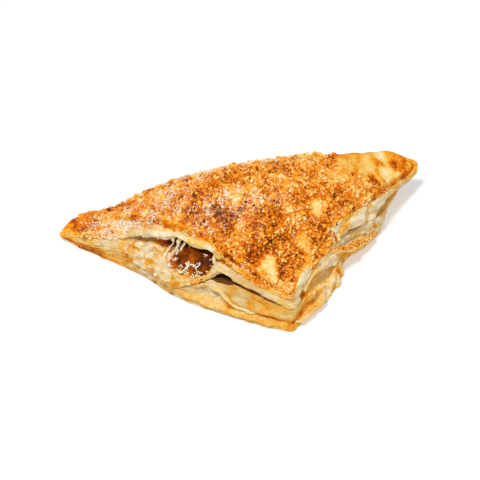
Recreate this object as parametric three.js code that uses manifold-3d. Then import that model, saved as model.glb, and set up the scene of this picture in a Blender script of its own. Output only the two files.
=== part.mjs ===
// Triangular puff pastry turnover: a square of laminated dough folded corner to corner over a dark fruit
// filling, strewn with sugar crumbs and baked until its two cut edges open into flakes.
// Millimetres, +Z up. The fold runs along X at the back and the square corner points along -Y.

import * as THREE from "three";
import { mergeVertices } from "three/addons/utils/BufferGeometryUtils.js";
import Module from "manifold-3d";

const { clamp, lerp, smoothstep, seededRandom } = THREE.MathUtils;

// Driving dimensions
const DOUGH_SIDE = 127; // side of the dough square before it is folded
const CROWN_HEIGHT = 47; // highest point of the crust above the table
const CROWN_SHOULDER = 18; // part of that height that the leaves' edges account for
const FILLING_FIT = 0.35; // gap between the filling and the dough round it
const BASE_FLAT = 0.86; // share of the way from heart to rim where the underside is flat

const HALF_FOLD = DOUGH_SIDE / Math.SQRT2;
const HEART = new THREE.Vector2(0, -HALF_FOLD / 3);
const CORNERS = [
  new THREE.Vector2(-HALF_FOLD, 0),
  new THREE.Vector2(0, -HALF_FOLD),
  new THREE.Vector2(HALF_FOLD, 0),
];

// A place on the rim is its "way": 0 to 1 runs down the left cut edge, 1 to 2 up the right cut edge, and
// 2 to 3 back along the fold. Each list pairs ways with a value there, and values between ease across.
const CORNER_ROUNDING = [
  [0, 0.015], [0.5, 0.01], [1, 0.022], [1.5, 0.01], [2, 0.018], [2.5, 0.01], [3, 0.015],
];
const CROWN_POWER = [
  [0, 0.82], [0.2, 0.95], [1, 1], [1.8, 0.95], [2, 0.8], [2.15, 0.65], [2.5, 0.68], [3, 0.82],
];
const FOLD_BULGE = [[0, 1], [1.8, 3], [2, 6], [2.15, 6.5], [2.85, 6], [3, 1]];
const CRUST_EDGE_HEIGHT = [
  [0, 6.5], [0.12, 11], [0.22, 16], [0.33, 22.5], [0.6, 25.5], [0.8, 20.8], [1, 17.5], [1.38, 26.2],
  [1.63, 21.5], [1.95, 13.4], [2.03, 22], [2.1, 27], [2.36, 22], [2.64, 18.5], [2.88, 15.8], [2.96, 12.5],
  [3, 6.5],
];
const CRUST_EDGE_REACH = [
  [0, 0], [0.27, -5], [0.58, -6.5], [0.75, -3], [1, -2], [1.36, -6], [1.63, -1], [1.83, 0], [2, 0],
  [2.15, -3], [2.5, -4], [2.85, -3], [3, 0],
];
const BASE_EDGE_HEIGHT = [
  [0, 2.6], [0.12, 0.6], [1, 0.4], [1.7, 0.6], [1.88, 1.6], [2, 3.2], [2.15, 0.8], [2.9, 0.6], [3, 2.6],
];
const BASE_EDGE_REACH = [
  [0, 0], [0.4, 3], [0.57, 7.5], [0.9, 5], [1, 2], [1.2, 3.5], [1.34, 1.5], [1.44, -4.5], [1.55, -0.4],
  [1.66, 0.6], [1.8, -6], [2, -15], [2.15, -5], [2.5, -2], [3, 0],
];

// Heights of the two gaps between the leaves of dough
const UPPER_GAP_HEIGHT = [
  [0, 3.9], [0.16, 9], [0.3, 15.3], [0.43, 18.2], [0.475, 17.2], [0.55, 15.6], [0.6, 16.2], [0.64, 17.7],
  [0.69, 21], [0.73, 20.3], [1, 14.6], [1.25, 18], [1.45, 14.5], [1.75, 11.6], [2, 9.5], [3, 3.9],
];
const LOWER_GAP_HEIGHT = [
  [0, 3.2], [0.3, 4.5], [0.55, 4], [0.7, 13], [0.81, 14], [1, 10.5], [1.15, 11.8], [1.25, 8.8], [1.35, 7.4],
  [1.45, 5], [1.75, 3.8], [2, 7], [3, 3.2],
];
const GAP_REST = { height: 0.5, depth: 2 }; // where the leaves lie shut
const MOUTH = { at: 0.56, reach: 0.108, height: 12.5, depth: 20 };
const MOUTH_SLIT = { at: 0.39, reach: 0.12, height: 4, depth: 9 }; // where the mouth runs on up the edge
const FILLED_MOUTH = { at: 0.56, reach: 0.13 }; // where the filling comes out to the mouth's lip
const FLAP = { at: 0.82, reach: 0.14, proud: 2.5 };
const UPPER_GAP_OPENINGS = [
  MOUTH,
  MOUTH_SLIT,
  { at: 1.48, reach: 0.06, height: 1.6, depth: 6 },
  { at: 1.74, reach: 0.09, height: 6.5, depth: 12 },
];
const LOWER_GAP_OPENINGS = [
  { at: 0.718, reach: 0.042, height: 4.2, depth: 12 }, // hollow under the end of the lifted flap
  { at: 0.84, reach: 0.1, height: 1.6, depth: 8 }, // slit that runs on from it
  { at: 1.21, reach: 0.1, height: 7, depth: 9 },
];

// Flakes that show along the cut edges
const UPPER_PLIES = 2;
const MIDDLE_PLIES = 1;
const LOWER_PLIES = 3;
const PLY_STEPS = 3;
const PLY_NOTCH = 1.6; // depth of the groove between two plies
const PLY_STRAY = 1.2; // how unevenly the plies end

// Filling
const FILLING = {
  floor: 6, crest: 24, inset: 22, mouthInset: -0.5, edge: 11.5, columns: 48, rows: 12, fullness: 0.75,
};

// Sugar crumbs, given by the size of their larger lumps
const CRUMB = { count: 96, spread: 0.93, least: 1.4, most: 2.5, sunk: 0.15, seed: 21 };
const BARE_TIP = { from: 42, front: -26, slope: 0.3 }; // no crumbs lie past these lines on the right tip

// Facets
const CUT_COLUMNS = 35;
const FOLD_COLUMNS = 16;
const COLUMNS = 2 * CUT_COLUMNS + FOLD_COLUMNS;
const CROWN_RINGS = [0.18, 0.36, 0.52, 0.67, 0.8, 0.91];
const GAP_STEPS = [0.22, 0.42, 0.58, 0.78];
const BASE_RINGS = [0.96, BASE_FLAT, 0.5];

const wasm = await Module();
wasm.setup();

// Value at a way, on a smooth curve through the pairs of a list. The rim closes, so way 3 is way 0 again.
function along(pairs, way) {
  const next = Math.max(1, pairs.findIndex(([place]) => place >= way));
  const last = pairs.length - 1;
  const before = next > 1 ? pairs[next - 2] : [pairs[last - 1][0] - 3, pairs[last - 1][1]];
  const after = next < last ? pairs[next + 1] : [pairs[1][0] + 3, pairs[1][1]];
  const [from, start] = pairs[next - 1];
  const [to, end] = pairs[next];
  const span = to - from;
  const t = (way - from) / span;
  const leave = (span * (end - before[1])) / (to - before[0]);
  const arrive = (span * (after[1] - start)) / (after[0] - from);
  const bend = 2 * (start - end) + leave + arrive;
  return start + t * (leave + t * (end - start - leave - bend + t * bend));
}

// 1 at the centre and near it, falling to nothing past the reach.
function swell(value, centre, reach) {
  return Math.exp(-(((value - centre) / reach) ** 4));
}

// Gentle unevenness, different for each phase.
function waver(way, phase) {
  return (
    0.5 * Math.sin(11 * way + 2.1 * phase) +
    0.3 * Math.sin(23 * way + 4.7 * phase) +
    0.2 * Math.sin(47 * way + 1.3 * phase)
  );
}

// How open the edge is: 1 along the cut edges, 0 round the fold.
function cutShare(way) {
  return way >= 2 ? 0 : smoothstep(way, 0, 0.08) * (1 - smoothstep(way, 1.92, 2));
}

// Point of the sharp triangle, at any way.
function sidePoint(way) {
  const round = ((way % 3) + 3) % 3;
  const side = Math.min(Math.floor(round), 2);
  return CORNERS[side].clone().lerp(CORNERS[(side + 1) % 3], round - side);
}

// Point of the rim in plan with its corners rounded, and the direction that leads out of the pastry there.
function rimAt(way) {
  const reach = along(CORNER_ROUNDING, way);
  const rim = new THREE.Vector2();
  const steps = [-1, -0.5, 0, 0.5, 1];
  for (const step of steps) {
    rim.addScaledVector(sidePoint(way + step * reach), 1 / steps.length);
  }
  const out = rim.clone().sub(HEART).normalize();
  return { rim, out };
}

function gapAt(way, heights, openings) {
  const middle = along(heights, way);
  let { height, depth } = GAP_REST;
  for (const opening of openings) {
    const share = swell(way, opening.at, opening.reach);
    height += opening.height * share;
    depth += opening.depth * share;
  }
  return { top: middle + height / 2, bottom: middle - height / 2, depth };
}

// The leaves of dough at one way, from the crust's edge down to the base's edge.
function edgeAt(way) {
  const crust = { z: along(CRUST_EDGE_HEIGHT, way), out: along(CRUST_EDGE_REACH, way) };
  const base = { z: along(BASE_EDGE_HEIGHT, way), out: along(BASE_EDGE_REACH, way) };
  const upper = gapAt(way, UPPER_GAP_HEIGHT, UPPER_GAP_OPENINGS);
  const lower = gapAt(way, LOWER_GAP_HEIGHT, LOWER_GAP_OPENINGS);
  const flap = FLAP.proud * swell(way, FLAP.at, FLAP.reach);
  const reachAt = (z) => lerp(base.out, crust.out, clamp((z - base.z) / (crust.z - base.z), 0, 1));
  return { crust, base, upper, lower, flap, reachAt };
}

// A stretch of cut edge between two heights, grooved between its plies.
function plyPoint(edge, way, from, to, share, plies, phase) {
  const z = lerp(from, to, share);
  const turn = share * plies;
  const notch = (0.5 + 0.5 * Math.cos(2 * Math.PI * turn)) ** 3;
  const ends = share === 0 || share === 1 ? 0 : 1;
  const stray = PLY_STRAY * waver(way, phase + Math.floor(turn)) * (1 - notch);
  return { z, out: edge.reachAt(z) + stray - ends * PLY_NOTCH * notch };
}

// The middle leaf, which stands proud of the others where it lifts into a flap.
function flapPoint(edge, way, share) {
  const { z, out } = plyPoint(edge, way, edge.upper.bottom, edge.lower.top, share, MIDDLE_PLIES, 5);
  return { z, out: out + edge.flap * Math.sin(Math.PI * share) };
}

// The inside of a gap: in along its roof to share 0.5, then out along its floor.
function gapPoint(edge, gap, share) {
  const inward = 1 - Math.abs(2 * share - 1);
  const lip = share < 0.5 ? gap.top : gap.bottom;
  const z = lerp(lip, (gap.top + gap.bottom) / 2, inward ** 3);
  return { z, out: edge.reachAt(lip) - gap.depth * inward };
}

// The rows of the skin from the crown's top to the middle of the base.
function plyRows(zone, plies) {
  const steps = plies * PLY_STEPS;
  return Array.from({ length: steps + 1 }, (_, i) => ({ zone, share: i / steps }));
}
const WALL_ROWS = [
  ...plyRows("upper", UPPER_PLIES),
  ...GAP_STEPS.map((share) => ({ zone: "upperGap", share })),
  ...plyRows("middle", MIDDLE_PLIES),
  ...GAP_STEPS.map((share) => ({ zone: "lowerGap", share })),
  ...plyRows("lower", LOWER_PLIES),
];
const ROWS = [
  { zone: "crown", share: 0 },
  ...CROWN_RINGS.map((share) => ({ zone: "crown", share })),
  ...WALL_ROWS.map((row, i) => ({ ...row, down: i / (WALL_ROWS.length - 1) })),
  ...BASE_RINGS.map((share) => ({ zone: "base", share })),
  { zone: "base", share: 0 },
];

// The crown is a triangular pillow: it rises with the product of the distances to the three sides.
function crownPoint(way, share) {
  const { rim, out } = rimAt(way);
  const { crust } = edgeAt(way);
  const front = clamp(-rim.y / HALF_FOLD, 0, 1);
  const rest = 1 - front;
  const tilt = clamp(rim.x / HALF_FOLD, -rest, rest);
  const weights = [front, (rest + tilt) / 2, (rest - tilt) / 2].map((w) => lerp(1 / 3, w, share));
  const pillow = (27 * weights[0] * weights[1] * weights[2]) ** along(CROWN_POWER, way);
  const plan = rim.addScaledVector(out, crust.out).sub(HEART).multiplyScalar(share).add(HEART);
  const rise = (CROWN_HEIGHT - CROWN_SHOULDER) * pillow * (1 - share ** 12);
  const z = lerp(CROWN_SHOULDER, crust.z, share ** 4) + rise;
  return new THREE.Vector3(plan.x, plan.y, z);
}

function basePoint(way, share) {
  const { rim, out } = rimAt(way);
  const { base } = edgeAt(way);
  const plan = rim.addScaledVector(out, base.out).sub(HEART).multiplyScalar(share).add(HEART);
  return new THREE.Vector3(plan.x, plan.y, base.z * smoothstep(share, BASE_FLAT, 1));
}

function wallPoint(way, { zone, share, down }) {
  const { rim, out } = rimAt(way);
  const edge = edgeAt(way);
  const { crust, base, upper, lower } = edge;
  const cutPoints = {
    upper: () => plyPoint(edge, way, crust.z, upper.top, share, UPPER_PLIES, 1),
    upperGap: () => gapPoint(edge, upper, share),
    middle: () => flapPoint(edge, way, share),
    lowerGap: () => gapPoint(edge, lower, share),
    lower: () => plyPoint(edge, way, lower.bottom, base.z, share, LOWER_PLIES, 7),
  };
  const cut = cutPoints[zone]();
  const round = {
    z: lerp(crust.z, base.z, down),
    out: lerp(crust.out, base.out, down) + along(FOLD_BULGE, way) * Math.sin(Math.PI * down),
  };
  const open = cutShare(way);
  rim.addScaledVector(out, lerp(round.out, cut.out, open));
  return new THREE.Vector3(rim.x, rim.y, lerp(round.z, cut.z, open));
}

function skinPoint(way, row) {
  if (row.zone === "crown") return crownPoint(way, row.share);
  if (row.zone === "base") return basePoint(way, row.share);
  return wallPoint(way, row);
}

function wayOfColumn(column) {
  const round = column % COLUMNS;
  return round < 2 * CUT_COLUMNS ? round / CUT_COLUMNS : 2 + (round - 2 * CUT_COLUMNS) / FOLD_COLUMNS;
}

// A sphere's vertices moved to where place(column, row) puts them, as one closed solid.
function warpedSphere(columns, rows, place) {
  const sphere = new THREE.SphereGeometry(1, columns, rows);
  const position = sphere.getAttribute("position");
  for (let row = 0; row <= rows; row++) {
    for (let column = 0; column <= columns; column++) {
      const point = place(column % columns, row);
      position.setXYZ(row * (columns + 1) + column, point.x, point.y, point.z);
    }
  }
  return solidFrom(sphere);
}

function solidFrom(geometry) {
  const bare = geometry.clone();
  bare.deleteAttribute("normal");
  bare.deleteAttribute("uv");
  const merged = mergeVertices(bare, 1e-4);
  return new wasm.Manifold(
    new wasm.Mesh({
      numProp: 3,
      vertProperties: new Float32Array(merged.getAttribute("position").array),
      triVerts: new Uint32Array(merged.index.array),
    }),
  );
}

function geometryFrom(solid) {
  const { vertProperties, triVerts } = solid.getMesh();
  const geometry = new THREE.BufferGeometry();
  geometry.setAttribute("position", new THREE.BufferAttribute(vertProperties, 3));
  geometry.setIndex(new THREE.BufferAttribute(triVerts, 1));
  geometry.computeVertexNormals();
  return geometry;
}

// The folded dough, before the filling's room is taken out of it.
function doughSolid() {
  return warpedSphere(COLUMNS, ROWS.length - 1, (column, row) => skinPoint(wayOfColumn(column), ROWS[row]));
}

// A lens of filling, drawn out towards the mouth. Growing it by the fit gives the room it lies in.
function fillingSolid(grow) {
  const { floor, crest, inset, mouthInset, edge, columns, rows, fullness } = FILLING;
  return warpedSphere(columns, rows, (column, row) => {
    const way = (3 * column) / columns;
    const { rim, out } = rimAt(way);
    const angle = (Math.PI * row) / rows;
    const across = Math.sin(angle) ** fullness;
    const upright = Math.sign(Math.cos(angle)) * Math.abs(Math.cos(angle)) ** fullness;
    rim.addScaledVector(out, -lerp(inset, mouthInset, swell(way, FILLED_MOUTH.at, FILLED_MOUTH.reach)));
    const reach = rim.sub(HEART);
    reach.setLength(reach.length() + grow);
    const plan = reach.multiplyScalar(across).add(HEART);
    const middle = lerp((floor + crest) / 2, edge, across);
    return new THREE.Vector3(plan.x, plan.y, middle + upright * ((crest - floor) / 2 + grow));
  });
}

// Lumps of crumb spread evenly over the crown on a sunflower spiral, each a rough pebble.
function crumbSolids() {
  const goldenTurn = Math.PI * (3 - Math.sqrt(5));
  seededRandom(CRUMB.seed);
  const solids = [];
  for (let i = 0; i < CRUMB.count; i++) {
    const share = CRUMB.spread * Math.sqrt((i + 0.5) / CRUMB.count);
    const way = 3 * ((i * goldenTurn) / (2 * Math.PI) % 1);
    const radius = lerp(CRUMB.least, CRUMB.most, seededRandom() ** 2);
    const centre = crownPoint(way, share);
    const spin = new THREE.Euler(6 * seededRandom(), 6 * seededRandom(), 6 * seededRandom());
    const past = centre.x - BARE_TIP.from;
    if (past > 0 && centre.y > BARE_TIP.front + BARE_TIP.slope * past) continue;
    const pebble = new THREE.IcosahedronGeometry(radius, 0);
    pebble.scale(1, lerp(0.7, 1, seededRandom()), lerp(0.7, 1, seededRandom()));
    pebble.applyMatrix4(new THREE.Matrix4().makeRotationFromEuler(spin));
    pebble.translate(centre.x, centre.y, centre.z - CRUMB.sunk * radius);
    solids.push(solidFrom(pebble));
  }
  return solids;
}

function pastryMesh() {
  const dough = doughSolid().subtract(fillingSolid(FILLING_FIT));
  const pastry = wasm.Manifold.union([dough, ...crumbSolids()]);
  const material = new THREE.MeshStandardMaterial({ color: 0xd99a4e, roughness: 0.7, metalness: 0 });
  const mesh = new THREE.Mesh(geometryFrom(pastry), material);
  mesh.name = "pastry";
  return mesh;
}

function fillingMesh() {
  const material = new THREE.MeshStandardMaterial({ color: 0x8a4a1c, roughness: 0.25, metalness: 0 });
  const mesh = new THREE.Mesh(geometryFrom(fillingSolid(0)), material);
  mesh.name = "filling";
  return mesh;
}

const laid = new THREE.Group();
laid.add(pastryMesh(), fillingMesh());

// The origin is under the middle of the turnover, on the table.
const box = new THREE.Box3().setFromObject(laid);
const middle = box.getCenter(new THREE.Vector3());
laid.position.set(-middle.x, -middle.y, -box.min.z);

const turnover = new THREE.Group();
turnover.add(laid);

export default turnover;
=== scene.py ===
"""Dresses a filled pastry turnover: flaky folded dough, sugar crumbs, and a glossy filling in its mouth.

Lengths are worked out in millimetres in the dough's own frame, with the fold along X at the back and the
square corner towards -Y, and are laid into the part's frame in metres when a mesh is made.
"""

from __future__ import annotations

import logging
import math
from dataclasses import dataclass, field
from enum import Enum
from functools import cached_property

import bmesh
import bpy
import numpy as np
from bpy.types import Material, Mesh, Node, NodeSocket, NodeTree, Object
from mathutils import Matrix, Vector

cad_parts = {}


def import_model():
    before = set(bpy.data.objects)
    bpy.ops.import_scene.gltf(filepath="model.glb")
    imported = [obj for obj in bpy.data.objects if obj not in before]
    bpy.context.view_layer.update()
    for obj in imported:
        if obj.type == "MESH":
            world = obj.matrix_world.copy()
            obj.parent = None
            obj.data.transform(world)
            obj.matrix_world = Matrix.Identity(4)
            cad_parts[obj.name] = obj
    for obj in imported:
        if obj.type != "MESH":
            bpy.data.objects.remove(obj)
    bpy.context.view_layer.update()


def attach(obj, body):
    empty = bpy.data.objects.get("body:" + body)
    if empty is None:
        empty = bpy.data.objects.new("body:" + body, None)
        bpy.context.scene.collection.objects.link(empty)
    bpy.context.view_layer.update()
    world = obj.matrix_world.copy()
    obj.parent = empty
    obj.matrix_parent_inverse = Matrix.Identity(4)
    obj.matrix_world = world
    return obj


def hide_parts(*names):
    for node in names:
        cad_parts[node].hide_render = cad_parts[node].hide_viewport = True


LOG = logging.getLogger("turnover")
Array = np.ndarray
MM = 0.001
LAID = np.array([0.3458, 43.3862, 0.0])  # from the dough's frame to the part's frame, in millimetres


class Slot(Enum):
    """Material slots of the record."""

    PASTRY = "pastry"
    FILLING = "filling"


class Zone(Enum):
    """Stretches of the dough's skin, from the middle of the base up to the top of the crown."""

    BASE = "base"
    LOWER = "lower"
    LOWER_GAP = "lower gap"
    MIDDLE = "middle"
    UPPER_GAP = "upper gap"
    UPPER = "upper"
    CROWN = "crown"


def smooth(value: Array, low: float, high: float) -> Array:
    """Ease from 0 at low to 1 at high."""
    t = np.clip((value - low) / (high - low), 0.0, 1.0)
    return t * t * (3.0 - 2.0 * t)


def mix(a: Array, b: Array, share: Array) -> Array:
    """Blend from a to b by a share."""
    return a + (b - a) * share


def swell(value: Array | float, centre: Array | float, reach: float, power: float = 4.0) -> Array:
    """1 at the centre and near it, falling to 0 past the reach, the steeper the higher the power."""
    return np.exp(-(np.abs((value - centre) / reach) ** power))


def waver(way: Array, phase: Array) -> Array:
    """Gentle unevenness along the rim, between -1 and 1, different for each phase."""
    waves = ((0.5, 11.0, 2.1), (0.3, 23.0, 4.7), (0.2, 47.0, 1.3))
    return sum(high * np.sin(quick * way + turn * phase) for high, quick, turn in waves)


class Unevenness:
    """Smooth seeded noise in space.

    A fixed distance added to the points gives another course of the same noise.
    """

    CELLS = 40

    def __init__(self, seed: int) -> None:
        """Fill the lattice with numbers that the seed picks."""
        rng = np.random.default_rng(seed)
        self.lattice = rng.uniform(-1.0, 1.0, (self.CELLS,) * 3)

    def at(self, points: Array, size: float, octaves: int = 1) -> Array:
        """Noise at each point.

        Args:
            points: array of places, one row of x, y and z each, in millimetres.
            size: size of the largest lumps, in millimetres.
            octaves: how many layers of noise, each half as large as the one before.

        Returns:
            One value for each point.
        """
        total = np.zeros(len(points))
        strength = 1.0
        for octave in range(octaves):
            cell = points * (2.0**octave / size) + 7.3 * octave
            total += strength * self._layer(cell)
            strength *= 0.5
        return total

    def _layer(self, cell: Array) -> Array:
        """One layer of noise.

        Args:
            cell: points, measured in cells of the lattice.

        Returns:
            One value for each point, between -1 and 1.
        """
        low = np.floor(cell).astype(int)
        t = cell - low
        t = t * t * (3.0 - 2.0 * t)
        value = np.zeros(len(cell))
        for corner in np.ndindex(2, 2, 2):
            picked = (low + np.array(corner)) % self.CELLS
            weight = np.prod(np.where(np.array(corner) == 1, t, 1.0 - t), axis=1)
            value += weight * self.lattice[picked[:, 0], picked[:, 1], picked[:, 2]]
        return value


@dataclass(frozen=True)
class RimCurve:
    """A value that changes along the rim, eased through pairs of a way and the value there.

    The way runs 0 to 1 down the left cut edge, 1 to 2 up the right cut edge and 2 to 3 back along the fold.
    """

    pairs: tuple[tuple[float, float], ...]
    closed: bool = True

    def at(self, way: Array) -> Array:
        """The value at each way.

        Args:
            way: places on the rim, from 0 to 3.

        Returns:
            One value for each way.
        """
        table = np.array(self.pairs)
        first = table[-2] - np.array([3.0, 0.0])
        last = table[1] + np.array([3.0, 0.0])
        if not self.closed:
            first = 2.0 * table[0] - table[1]
            last = 2.0 * table[-1] - table[-2]
            way = np.clip(way, table[0, 0], table[-1, 0])
        place, value = np.vstack([first, table, last]).T
        after = np.clip(np.searchsorted(table[:, 0], way, side="left"), 1, len(table) - 1)
        span = place[after + 1] - place[after]
        t = (way - place[after]) / span
        start = value[after]
        end = value[after + 1]
        leave = span * (end - value[after - 1]) / (place[after + 1] - place[after - 1])
        arrive = span * (value[after + 2] - start) / (place[after + 2] - place[after])
        bend = 2.0 * (start - end) + leave + arrive
        return start + t * (leave + t * (end - start - leave - bend + t * bend))


def around(*pairs: tuple[float, float]) -> RimCurve:
    """A value all round the rim."""
    return RimCurve(pairs)


def along(*pairs: tuple[float, float]) -> RimCurve:
    """A value along a part of the rim, held at its first and last pairs."""
    return RimCurve(pairs, closed=False)


@dataclass(frozen=True)
class Opening:
    """A place where two leaves of dough have opened."""

    at: float
    reach: float
    height: float
    depth: float
    blunt: float = 4.0


@dataclass
class Gap:
    """The space between two leaves, for each column of the skin."""

    top: Array
    bottom: Array
    depth: Array


@dataclass
class Edge:
    """The stacked leaves of dough, for each column of the skin."""

    way: Array
    rim: Array
    out: Array
    crust_z: Array
    crust_out: Array
    base_z: Array
    base_out: Array
    upper: Gap
    lower: Gap
    flap: Array
    opened: Array

    def reach_at(self, z: Array) -> Array:
        """How far out the edge reaches at a height."""
        share = np.clip((z - self.base_z) / (self.crust_z - self.base_z), 0.0, 1.0)
        return mix(self.base_out, self.crust_out, share)

    def point(self, z: Array, out: Array) -> Array:
        """Points at a height and a reach past the rim."""
        plan = self.rim + self.out * np.asarray(out)[:, None]
        return np.column_stack([plan, np.broadcast_to(z, len(plan))])


@dataclass
class Dough:
    """The folded dough's form, from the solid's named sizes with small corrections."""

    side: float = 127.0
    crown_height: float = 47.0
    crown_shoulder: float = 18.0
    base_flat: float = 0.86
    ply_stray: float = 1.2
    flap_at: float = 0.82
    flap_reach: float = 0.14
    flap_proud: float = 2.5
    gap_height: float = 0.25
    gap_depth: float = 0.35
    mouth: Opening = Opening(0.562, 0.106, 13.2, 20.0, 7.0)
    mouth_slit: Opening = Opening(0.39, 0.12, 4.0, 9.0)
    corner_rounding: RimCurve = around(
        (0, 0.015), (0.5, 0.01), (1, 0.022), (1.5, 0.01), (2, 0.018), (2.5, 0.01), (3, 0.015),
    )
    crown_power: RimCurve = around(
        (0, 0.82), (0.2, 0.95), (1, 1), (1.8, 0.95), (2, 0.8), (2.15, 0.65), (2.5, 0.68), (3, 0.82),
    )
    fold_bulge: RimCurve = around((0, 1), (1.8, 3), (2, 6), (2.15, 6.5), (2.85, 6), (3, 1))
    crust_edge_height: RimCurve = around(
        (0, 6.5), (0.12, 11), (0.22, 16), (0.33, 22.5), (0.6, 25.5), (0.8, 20.8), (1, 17.5),
        (1.38, 26.2), (1.63, 21.5), (1.95, 13.4), (2.03, 19.6), (2.1, 26.6), (2.36, 22), (2.64, 18.5),
        (2.88, 15.8), (2.96, 12.5), (3, 6.5),
    )
    crust_edge_reach: RimCurve = around(
        (0, 0), (0.27, -5), (0.58, -6.5), (0.75, -3), (1, -2), (1.36, -6), (1.63, -1), (1.83, 0),
        (2, 0), (2.15, -3), (2.5, -4), (2.85, -3), (3, 0),
    )
    base_edge_height: RimCurve = around(
        (0, 2.6), (0.12, 0.6), (1, 0.4), (1.7, 0.6), (1.88, 1.6), (2, 3.2), (2.15, 0.8), (2.9, 0.6),
        (3, 2.6),
    )
    base_edge_reach: RimCurve = around(
        (0, 0), (0.4, 3), (0.57, 7.5), (0.9, 5), (1, 2), (1.2, 3.5), (1.34, 1.5), (1.44, -4.5),
        (1.55, -0.4), (1.66, 0.6), (1.8, -6), (2, -15), (2.15, -5), (2.5, -2), (3, 0),
    )
    upper_gap_height: RimCurve = around(
        (0, 3.9), (0.16, 9), (0.3, 15.3), (0.43, 18.2), (0.475, 17.2), (0.55, 15.2), (0.6, 15.6),
        (0.64, 17.2), (0.69, 21), (0.73, 20.3), (1, 14.6), (1.25, 18), (1.45, 14.5), (1.75, 11.6),
        (2, 9.5), (3, 3.9),
    )
    lower_gap_height: RimCurve = around(
        (0, 3.2), (0.3, 4.5), (0.55, 4), (0.7, 14), (0.81, 14), (1, 10.5), (1.15, 11.8), (1.25, 8.8),
        (1.35, 7.4), (1.45, 5), (1.75, 3.8), (2, 7), (3, 3.2),
    )

    @property
    def half_fold(self) -> float:
        """Half the length of the fold."""
        return self.side / math.sqrt(2.0)

    @property
    def heart(self) -> Array:
        """The middle of the triangle in plan."""
        return np.array([0.0, -self.half_fold / 3.0])

    @property
    def upper_openings(self) -> tuple[Opening, ...]:
        """Where the upper gap has opened."""
        right = (Opening(1.48, 0.06, 1.6, 6.0), Opening(1.74, 0.09, 6.5, 12.0))
        return (self.mouth, self.mouth_slit, *right)

    @property
    def lower_openings(self) -> tuple[Opening, ...]:
        """Where the lower gap has opened."""
        left = (Opening(0.722, 0.036, 3.8, 12.0, 5.0), Opening(0.84, 0.1, 0.9, 6.0))
        return (*left, Opening(1.21, 0.1, 7.0, 9.0))

    def _side_point(self, way: Array) -> Array:
        """Points of the sharp triangle in plan.

        Args:
            way: places on the rim.

        Returns:
            One pair of x and y for each place.
        """
        half = self.half_fold
        corners = np.array([[-half, 0.0], [0.0, -half], [half, 0.0]])
        turn = np.mod(way, 3.0)
        side = np.minimum(turn.astype(int), 2)
        return mix(corners[side], corners[(side + 1) % 3], (turn - side)[:, None])

    def _rim(self, way: Array) -> Array:
        """Points of the rim in plan, with its corners rounded."""
        shifts = [step * self.corner_rounding.at(way) for step in (-1.0, -0.5, 0.0, 0.5, 1.0)]
        return sum(self._side_point(way + shift) for shift in shifts) / len(shifts)

    def _gap(self, way: Array, heights: RimCurve, openings: tuple[Opening, ...]) -> Gap:
        """The space between two leaves along the rim.

        Args:
            way: places on the rim.
            heights: height of the space's middle.
            openings: where it has opened.

        Returns:
            The space at each place.
        """
        middle = heights.at(way)
        height = np.full_like(way, self.gap_height)
        depth = np.full_like(way, self.gap_depth)
        for opening in openings:
            share = swell(way, opening.at, opening.reach, opening.blunt)
            height = height + opening.height * share
            depth = depth + opening.depth * share
        return Gap(middle + height / 2.0, middle - height / 2.0, depth)

    def edge(self, way: Array) -> Edge:
        """The stacked leaves at each way.

        Args:
            way: places on the rim, from 0 to 3.

        Returns:
            The leaves' heights and reaches there.
        """
        rim = self._rim(way)
        out = rim - self.heart
        out = out / np.linalg.norm(out, axis=1)[:, None]
        opened = np.where(way >= 2.0, 0.0, smooth(way, 0.0, 0.08) * (1.0 - smooth(way, 1.92, 2.0)))
        return Edge(
            way=way,
            rim=rim,
            out=out,
            crust_z=self.crust_edge_height.at(way),
            crust_out=self.crust_edge_reach.at(way),
            base_z=self.base_edge_height.at(way),
            base_out=self.base_edge_reach.at(way),
            upper=self._gap(way, self.upper_gap_height, self.upper_openings),
            lower=self._gap(way, self.lower_gap_height, self.lower_openings),
            flap=self.flap_proud * swell(way, self.flap_at, self.flap_reach),
            opened=opened,
        )

    def crown(self, edge: Edge, share: Array) -> Array:
        """Points of the crown, a triangular pillow.

        Args:
            edge: the leaves at each point's way.
            share: how far each point lies from the heart to the crust's edge, 0 to 1.

        Returns:
            One point for each way and share.
        """
        share = np.broadcast_to(share, edge.way.shape)
        front = np.clip(-edge.rim[:, 1] / self.half_fold, 0.0, 1.0)
        rest = 1.0 - front
        tilt = np.clip(edge.rim[:, 0] / self.half_fold, -rest, rest)
        product = np.full_like(share, 27.0)
        for weight in (front, (rest + tilt) / 2.0, (rest - tilt) / 2.0):
            product = product * mix(1.0 / 3.0, weight, share)
        pillow = np.clip(product, 0.0, None) ** self.crown_power.at(edge.way)
        rise = (self.crown_height - self.crown_shoulder) * pillow * (1.0 - share**12)
        z = mix(self.crown_shoulder, edge.crust_z, share**4) + rise
        reach = edge.rim + edge.out * edge.crust_out[:, None] - self.heart
        return np.column_stack([self.heart + reach * share[:, None], z])

    def base(self, edge: Edge, share: float) -> Array:
        """Points of the underside.

        Args:
            edge: the leaves at each column.
            share: how far they lie from the heart to the base's edge, 0 to 1.

        Returns:
            One point for each column.
        """
        reach = edge.rim + edge.out * edge.base_out[:, None] - self.heart
        z = edge.base_z * smooth(np.array(share), self.base_flat, 1.0)
        return np.column_stack([self.heart + reach * share, z])

    def fold(self, edge: Edge, down: float) -> Array:
        """Points of the rounded fold.

        Args:
            edge: the leaves at each column.
            down: how far down they lie, 0 at the crust's edge and 1 at the base's.

        Returns:
            One point for each column.
        """
        z = mix(edge.crust_z, edge.base_z, down)
        bulge = self.fold_bulge.at(edge.way) * math.sin(math.pi * down)
        return edge.point(z, mix(edge.crust_out, edge.base_out, down) + bulge)

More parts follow.
